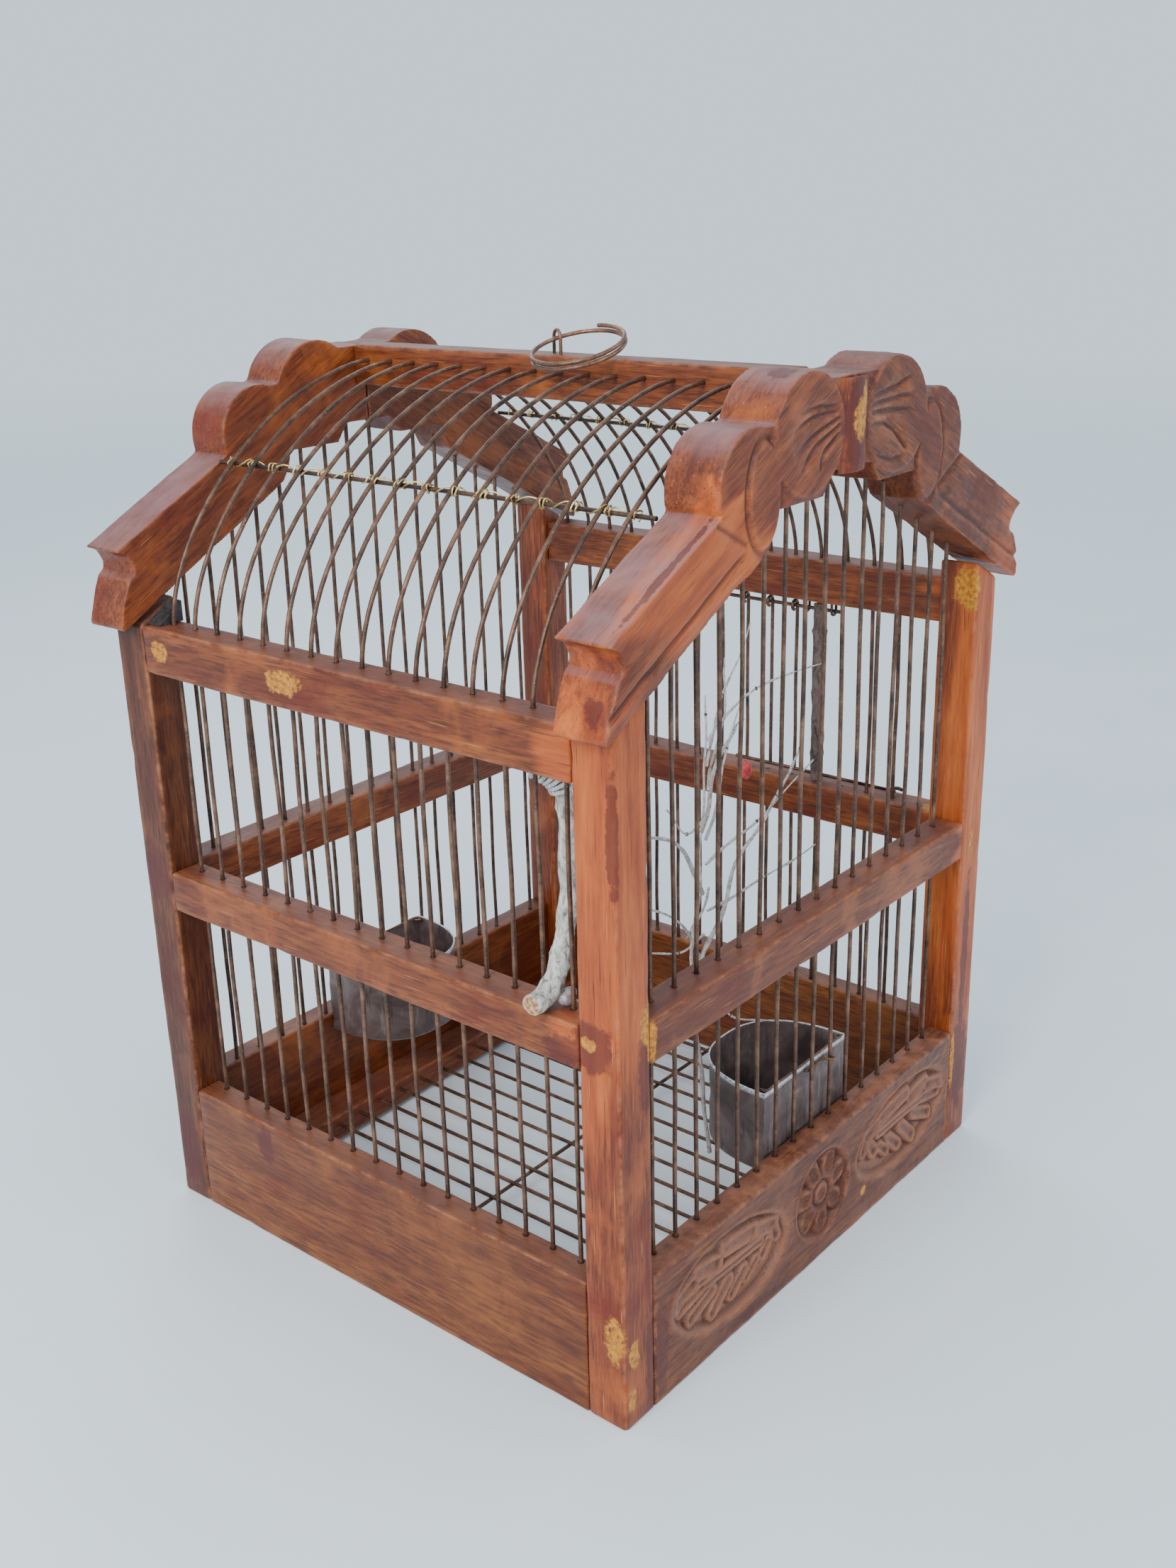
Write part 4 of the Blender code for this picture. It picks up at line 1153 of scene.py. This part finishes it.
def stick(name, spine, radii, material, body, node=None, knobs=0, roughness=0.0006, sides=18, seed=0):
    """A bark-covered stick with cut ends, swollen at a few buds."""
    shape = bmesh.new()
    rings = []
    cut = []
    total = len(spine)
    bulges = [(0.15 + 0.7 * k / max(1, knobs - 1), 0.8 + draw.random()) for k in range(knobs)]
    side = Vector((1, 0, 0))
    for n, (centre, radius) in enumerate(zip(spine, radii)):
        ahead = (Vector(spine[min(n + 1, total - 1)]) - Vector(spine[max(n - 1, 0)])).normalized()
        side = (side - side.dot(ahead) * ahead).normalized()
        other = ahead.cross(side)
        share = n / (total - 1)
        swell = 1 + sum(0.14 * amount * math.exp(-(((share - at) / 0.022) ** 2)) for at, amount in bulges)
        made = []
        for k in range(sides):
            turn = 2 * math.pi * k / sides
            out = side * math.cos(turn) + other * math.sin(turn)
            point = Vector(centre) + out * radius * swell
            coarse = wobble(point + Vector((seed, 0, 0)), roughness, 130)
            point += out * (coarse + wobble(point, roughness * 0.5, 420))
            made.append(shape.verts.new(point))
            cut.append(0.0)
        rings.append(made)
    bridge(shape, rings)
    for ring, sign in ((rings[0], -1), (rings[-1], 1)):
        middle = sum((v.co for v in ring), Vector()) / sides
        inner = [shape.verts.new(v.co.lerp(middle, 0.12)) for v in ring]
        hub = shape.verts.new(middle)
        cut.extend([1.0] * (sides + 1))
        for k in range(sides):
            shape.faces.new((ring[k], ring[(k + 1) % sides], inner[(k + 1) % sides], inner[k]))
            shape.faces.new((inner[k], inner[(k + 1) % sides], hub))
    bmesh.ops.recalc_face_normals(shape, faces=shape.faces)
    mesh = mesh_from(shape, name)
    set_marks(mesh, "cut", cut)
    mesh.shade_smooth()
    mesh.set_sharp_from_angle(angle=math.radians(50))
    return show(name, mesh, material, body, "pale_bark", *([node] if node else []))


def build_ring():
    """The staple on the ridge beam and the coiled key ring that hangs in it."""
    outward = Vector((-0.3935, -0.9105, -0.1272)).normalized()
    normal = Vector((-0.2835, -0.0114, 0.9589)).normalized()
    along = outward.cross(normal)
    across = Vector((along.y, -along.x, 0)).normalized()
    lift = Vector((0, 0, 1))
    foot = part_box("hanger_eye")[0].z - eye.z
    turns = [math.pi * k / 16 for k in range(17)]
    bend = [eye + 0.004 * (math.cos(a) * across + math.sin(a) * lift) for a in turns]
    legs = [eye + 0.004 * across + foot * lift] + bend + [eye - 0.004 * across + foot * lift]
    wires("hanger_staple", [legs], 0.0009, steel, nodes=["hanger_eye"])
    radius, count, rise, steps = 0.0235, 1.7, 0.0027, 120
    centre = eye + radius * outward
    route = []
    for k in range(steps + 1):
        turn = 2 * math.pi * count * (k / steps - 0.5)
        spoke = -math.cos(turn) * outward + math.sin(turn) * along
        route.append(centre + radius * spoke + rise * turn / (2 * math.pi) * normal)
    wires("key_ring", [route], DOOR_WIRE, bright_steel, "ring", nodes=["hanging_ring"])


def cup_profile(x_half, depth, steps):
    """The D-shaped outline of a cup: the round side, then the flat one."""
    points = []
    for k in range(steps + 1):
        turn = math.pi * k / steps
        cosine = math.cos(turn)
        across = math.copysign(abs(cosine) ** 0.8, cosine) * x_half
        points.append((across, depth * math.sin(turn) ** 0.8))
    flat = 24
    for k in range(1, flat):
        points.append((-x_half + 2 * x_half * k / flat, 0.0))
    return points


CUP_BASE = 0.0012


def build_cup(end, body, side):
    """A folded tin cup with a rolled rim, dented by use."""
    low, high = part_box(f"cup_{end}")
    centre_x = (low.x + high.x) / 2
    flat_y = low.y if side < 0 else high.y
    half, depth, height = (high.x - low.x) / 2, high.y - low.y, high.z - low.z
    outline = cup_profile(half, depth, 44)
    inner_share = 0.976
    levels = [0, CUP_BASE] + [height * k / 14 for k in range(1, 14)]
    levels += [height - 0.0014, height - 0.0005, height]
    shape = bmesh.new()
    marks = []

    def ring(share, level, mark, dent=1.0):
        made = []
        for a, b in outline:
            mid_b = depth * 0.45
            u, v = a * share, mid_b + (b - mid_b) * share
            amount = dent * math.sin(math.pi * min(level / height, 1)) ** 0.5
            push = -abs(wobble((a + side, b, level * 1.4), 0.0016, 42)) * amount
            outward = Vector((u, v - mid_b, 0)).normalized()
            u += outward.x * push
            v += outward.y * push
            made.append(shape.verts.new((centre_x + u, flat_y - side * v, low.z + level)))
            marks.append(mark)
        return made

    loops = [ring(0.5, 0, 0), ring(0.975, 0, 0.2)]
    for level in levels[1:]:
        near_rim = level > height - 0.0015
        loops.append(ring(0.988 if level < height - 0.003 else 1.0, level, 1.0 if near_rim else 0.0))
    loops.append(ring(inner_share, height, 1.0))
    for level in reversed(levels[1:-1]):
        loops.append(ring(inner_share - 0.004, max(level, CUP_BASE), 0.0))
    loops.append(ring(0.5, CUP_BASE, 0))
    bridge(shape, loops)
    shape.faces.new(loops[0])
    shape.faces.new(loops[-1])
    bmesh.ops.recalc_face_normals(shape, faces=shape.faces)
    mesh = mesh_from(shape, f"tin_cup_{end}")
    set_marks(mesh, "wear", marks)
    mesh.shade_smooth()
    mesh.set_sharp_from_angle(angle=math.radians(45))
    show(f"tin_cup_{end}", mesh, zinc, body, "zinc_tin", f"cup_{end}")
    build_cup_hook(end, body, side, centre_x, high.z)


def build_cup_hook(end, body, side, centre_x, rim):
    """The hook round a wall wire, and the wire that lies along the flat side's rim."""
    inward = -side
    near = min(lattice, key=lambda wire: abs(wire - (centre_x - side * 0.017)))
    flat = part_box(f"cup_{end}")[0].y if side < 0 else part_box(f"cup_{end}")[1].y
    inside = flat + inward * 0.0021
    run = side * wire_y + inward * 0.0028
    start = near - inward * 0.0180
    height = rim - 0.004
    corners = [
        (start, inside, height - 0.009),
        (start, inside, height - 0.001),
        (start, inside + side * 0.002, height),
        (start + inward * 0.001, run, height),
    ]
    for k in range(19):
        turn = math.radians(300 * k / 18)
        across = near + inward * 0.0028 * math.sin(turn)
        out = side * wire_y + inward * 0.0028 * math.cos(turn)
        corners.append((across, out, height + 0.0022 * k / 18))
    wires(f"hook_{end}", [corners], 0.0008, bright_steel, body, nodes=[f"cup_hook_{end}"])
    half = (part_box(f"cup_{end}")[1].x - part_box(f"cup_{end}")[0].x) / 2
    lying = []
    for k in range(49):
        share = 2 * k / 48 - 1
        curl = max(0.0, abs(share) - 0.9) / 0.1
        turn = 1.7 * math.pi * curl
        across = math.copysign(min(abs(share), 0.9) * half + 0.0022 * math.sin(turn), share)
        place = (centre_x + across, flat + inward * (0.0006 + 0.0022 * (1 - math.cos(turn))), rim + 0.0004)
        lying.append(Vector(place) + Vector((0, 0, wobble(place, 0.0005, 90) - 0.0012 * curl)))
    wires(f"cup_rim_wire_{end}", [lying], 0.0006, bright_steel, body)


# ---------------------------------------------------------------- branch, twigs

PERCH = (
    ((-0.1735, -0.1206, 0.2138), 0.0050),
    ((-0.1645, -0.1206, 0.2146), 0.0053),
    ((-0.1570, -0.1206, 0.2205), 0.0051),
    ((-0.1515, -0.1200, 0.2310), 0.0046),
    ((-0.1460, -0.1186, 0.2430), 0.0044),
    ((-0.1425, -0.1174, 0.2560), 0.0042),
    ((-0.1413, -0.1166, 0.2750), 0.0040),
    ((-0.1413, -0.1164, 0.2950), 0.0038),
    ((-0.1428, -0.1144, 0.3065), 0.0037),
    ((-0.1464, -0.1088, 0.3130), 0.0034),
    ((-0.1486, -0.1010, 0.3144), 0.0031),
)


def build_perch():
    """The branch with white thread wound on its upper end and a blob of glue by its lower one."""
    spine = smooth_route([p for p, _ in PERCH], 9)
    radii = []
    for (_, first), (_, second) in zip(PERCH, PERCH[1:]):
        radii += [first + (second - first) * k / 9 for k in range(9)]
    radii.append(PERCH[-1][1])
    stick("branch", spine, radii, pale_bark, "frame", "perch_branch", knobs=6, roughness=0.0009, sides=28)
    wrap = []
    for k in range(97):
        place = len(spine) - 22 + 18 * k / 96
        low_index = int(place)
        centre = spine[low_index].lerp(spine[low_index + 1], place - low_index)
        along = (spine[low_index + 1] - spine[low_index]).normalized()
        side = along.cross(Vector((0, 0, 1))).normalized()
        upward = side.cross(along)
        turn = 2 * math.pi * k / 12
        wide = radii[low_index] + 0.0011 + wobble(centre, 0.0004, 300)
        wrap.append(centre + side * wide * math.cos(turn) + upward * wide * math.sin(turn))
    wires("white_thread", [wrap], 0.0010, thread_white, "frame", "pale_bark")
    shape = bmesh.new()
    matrix = Matrix.Translation((-0.1555, -0.1265, 0.2125)) @ Matrix.Diagonal((0.0052, 0.0035, 0.0040, 1))
    bmesh.ops.create_icosphere(shape, subdivisions=4, radius=1, matrix=matrix)
    for vert in shape.verts:
        vert.co += Vector((wobble(vert.co, 0.0016, 230), 0, wobble(vert.co, 0.0012, 190)))
    mesh = mesh_from(shape, "glue_blob")
    mesh.shade_smooth()
    show("glue_blob", mesh, glue, "frame", "pale_bark")


TWIG_SHIFT = Vector((0.022, 0.036, -0.010))


def build_twigs():
    """Thin dry twigs left standing in the cage, with a berry and some buds."""
    starts = [
        ((0.012, -0.105, 0.020), (0.018, -0.090, 0.120), (0.032, -0.085, 0.215), (0.050, -0.078, 0.290)),
        ((0.018, -0.090, 0.120), (0.035, -0.104, 0.190), (0.075, -0.110, 0.232), (0.110, -0.104, 0.250)),
        ((0.026, -0.088, 0.180), (0.000, -0.096, 0.218), (-0.045, -0.100, 0.240), (-0.084, -0.096, 0.246)),
        ((0.032, -0.085, 0.215), (0.070, -0.072, 0.245), (0.102, -0.060, 0.252), (0.128, -0.048, 0.250)),
    ]
    for root in range(11):
        share = 0.25 + 0.06 * root
        foot = Vector((0.012 + 0.035 * share, -0.10 + 0.02 * share, 0.07 + 0.23 * share))
        away = Vector((draw.uniform(-1, 1), draw.uniform(-0.5, 0.4), draw.uniform(0.0, 0.5))).normalized()
        reach = draw.uniform(0.045, 0.100)
        bend = Vector((0, draw.uniform(-0.01, 0.01), draw.uniform(-0.015, 0.012)))
        starts.append((foot, foot + away * reach * 0.5 + bend, foot + away * reach + bend * 0.3))
    for number, route in enumerate(starts):
        spine = smooth_route(route, 14)
        spine = [p + TWIG_SHIFT + Vector((wobble(p, 0.004, 28), wobble(p, 0.004, 31), 0)) for p in spine]
        thick = 0.0014 if number < 4 else 0.0009
        radii = [thick * (1 - 0.6 * k / (len(spine) - 1)) for k in range(len(spine))]
        stick(
            f"twig_{number}", spine, radii, twig_bark, "frame",
            knobs=5, roughness=0.0003, sides=10, seed=number,
        )
        for k in range(14, len(spine) - 2, 13):
            bud_at(f"bud_{number}_{k}", spine[k], 0.0009, brown_bark)
    bud_at("berry", Vector((0.047, -0.104, 0.252)) + TWIG_SHIFT, 0.0040, berry)


def bud_at(name, place, radius, material):
    shape = bmesh.new()
    bmesh.ops.create_icosphere(shape, subdivisions=3, radius=radius)
    for vert in shape.verts:
        vert.co.z *= 1.35
        vert.co *= 1 + 0.22 * noise.noise(vert.co * 400)
        vert.co += place
    mesh = mesh_from(shape, name)
    set_marks(mesh, "cut", [0.0] * len(mesh.vertices))
    mesh.shade_smooth()
    show(name, mesh, material, "frame", "pale_bark")


# ---------------------------------------------------------------- light, floor, camera

WORLD_TONE, WORLD_LIGHT = (0.74, 0.89, 1.0), 1.18
FLOOR_FADE_START, FLOOR_FADE_END = 0.9, 4.5


def build_stage():
    """A pale floor that fades into the world's tone, and three soft lamps."""
    nodes = Nodes("pale_floor")
    cloud = nodes.cloud(6, 4)
    colour = nodes.ramp(cloud, (0.3, (0.74, 0.79, 0.83)), (0.7, (0.77, 0.82, 0.86)))
    nodes.finish(colour, 0.85, cloud, 0.001, 0.1)
    far = nodes.node("ShaderNodeVectorMath", operation="LENGTH")
    nodes.feed(far.inputs[0], nodes.place)
    fade = nodes.spread(far.outputs["Value"], FLOOR_FADE_START, FLOOR_FADE_END)
    nodes.feed(nodes.shader.inputs["Emission Strength"], nodes.times(fade, WORLD_LIGHT))
    nodes.fix("Emission Color", (*WORLD_TONE, 1))
    colour = nodes.lay(colour, fade, (0.0, 0.0, 0.0))
    nodes.feed(nodes.shader.inputs["Base Color"], colour)
    nodes.fix("Specular IOR Level", 0.0)
    shape = bmesh.new()
    bmesh.ops.create_grid(shape, x_segments=1, y_segments=1, size=60)
    mesh = mesh_from(shape, "floor")
    floor = bpy.data.objects.new("floor", mesh)
    bpy.context.scene.collection.objects.link(floor)
    mesh.materials.append(nodes.material)
    world = bpy.data.worlds.new("studio")
    world.use_nodes = True
    world.node_tree.nodes["Background"].inputs[0].default_value = (*WORLD_TONE, 1)
    world.node_tree.nodes["Background"].inputs[1].default_value = WORLD_LIGHT
    bpy.context.scene.world = world
    lamps = (
        ("key", (-1.45, -0.25, 1.15), 0.9, 26.0, (1.0, 0.97, 0.93)),
        ("front", (-0.25, -1.70, 0.95), 1.0, 9.0, (0.95, 0.97, 1.0)),
        ("rim", (0.8, 1.2, 1.5), 1.2, 8.0, (0.90, 0.95, 1.0)),
    )
    for name, place, size, power, tone in lamps:
        data = bpy.data.lights.new(name, "AREA")
        data.shape = "DISK"
        data.size, data.energy, data.color = size, power, tone
        lamp = bpy.data.objects.new(name, data)
        bpy.context.scene.collection.objects.link(lamp)
        lamp.location = place
        aim = Vector((0, 0, 0.2)) - Vector(place)
        lamp.rotation_euler = aim.to_track_quat("-Z", "Y").to_euler()


def build_camera():
    """The view from in front and to the left, from a little above."""
    azimuth, height, roll = math.radians(-50.123), math.radians(20.223), math.radians(-1.472)
    level_share = math.cos(height)
    back = Vector((math.sin(azimuth) * level_share, -math.cos(azimuth) * level_share, math.sin(height)))
    level = Vector((math.cos(azimuth), math.sin(azimuth), 0))
    upward = back.cross(level)
    right = math.cos(roll) * level + math.sin(roll) * upward
    up = -math.sin(roll) * level + math.cos(roll) * upward
    data = bpy.data.cameras.new("camera")
    data.sensor_fit = "VERTICAL"
    data.sensor_height = 24
    data.lens = 24 * 2319.15 / 2212
    data.clip_start = 0.02
    camera = bpy.data.objects.new("camera", data)
    bpy.context.scene.collection.objects.link(camera)
    place = Matrix((right, up, back)).transposed().to_4x4()
    camera.matrix_world = Matrix.Translation((-0.64994, -0.55440, 0.55378)) @ place
    bpy.context.scene.camera = camera


build_posts()
build_rails()
build_carved_board()
for side, hand in ((-1, "left"), (1, "right")):
    build_gable(f"gable_front_{hand}", side, -1)
    build_gable(f"gable_back_{hand}", side, 1)
build_keystone("keystone_front", -1)
build_keystone("keystone_back", 1)
build_walls()
build_roof()
build_floor_grid()
build_door()
build_ring()
build_cup("front", "front_cup", -1)
build_cup("back", "back_cup", 1)
build_perch()
build_twigs()
block = frame["nodes"]["corner_block"]
block.data.materials.clear()
block.data.materials.append(black_block)
build_stage()
build_camera()
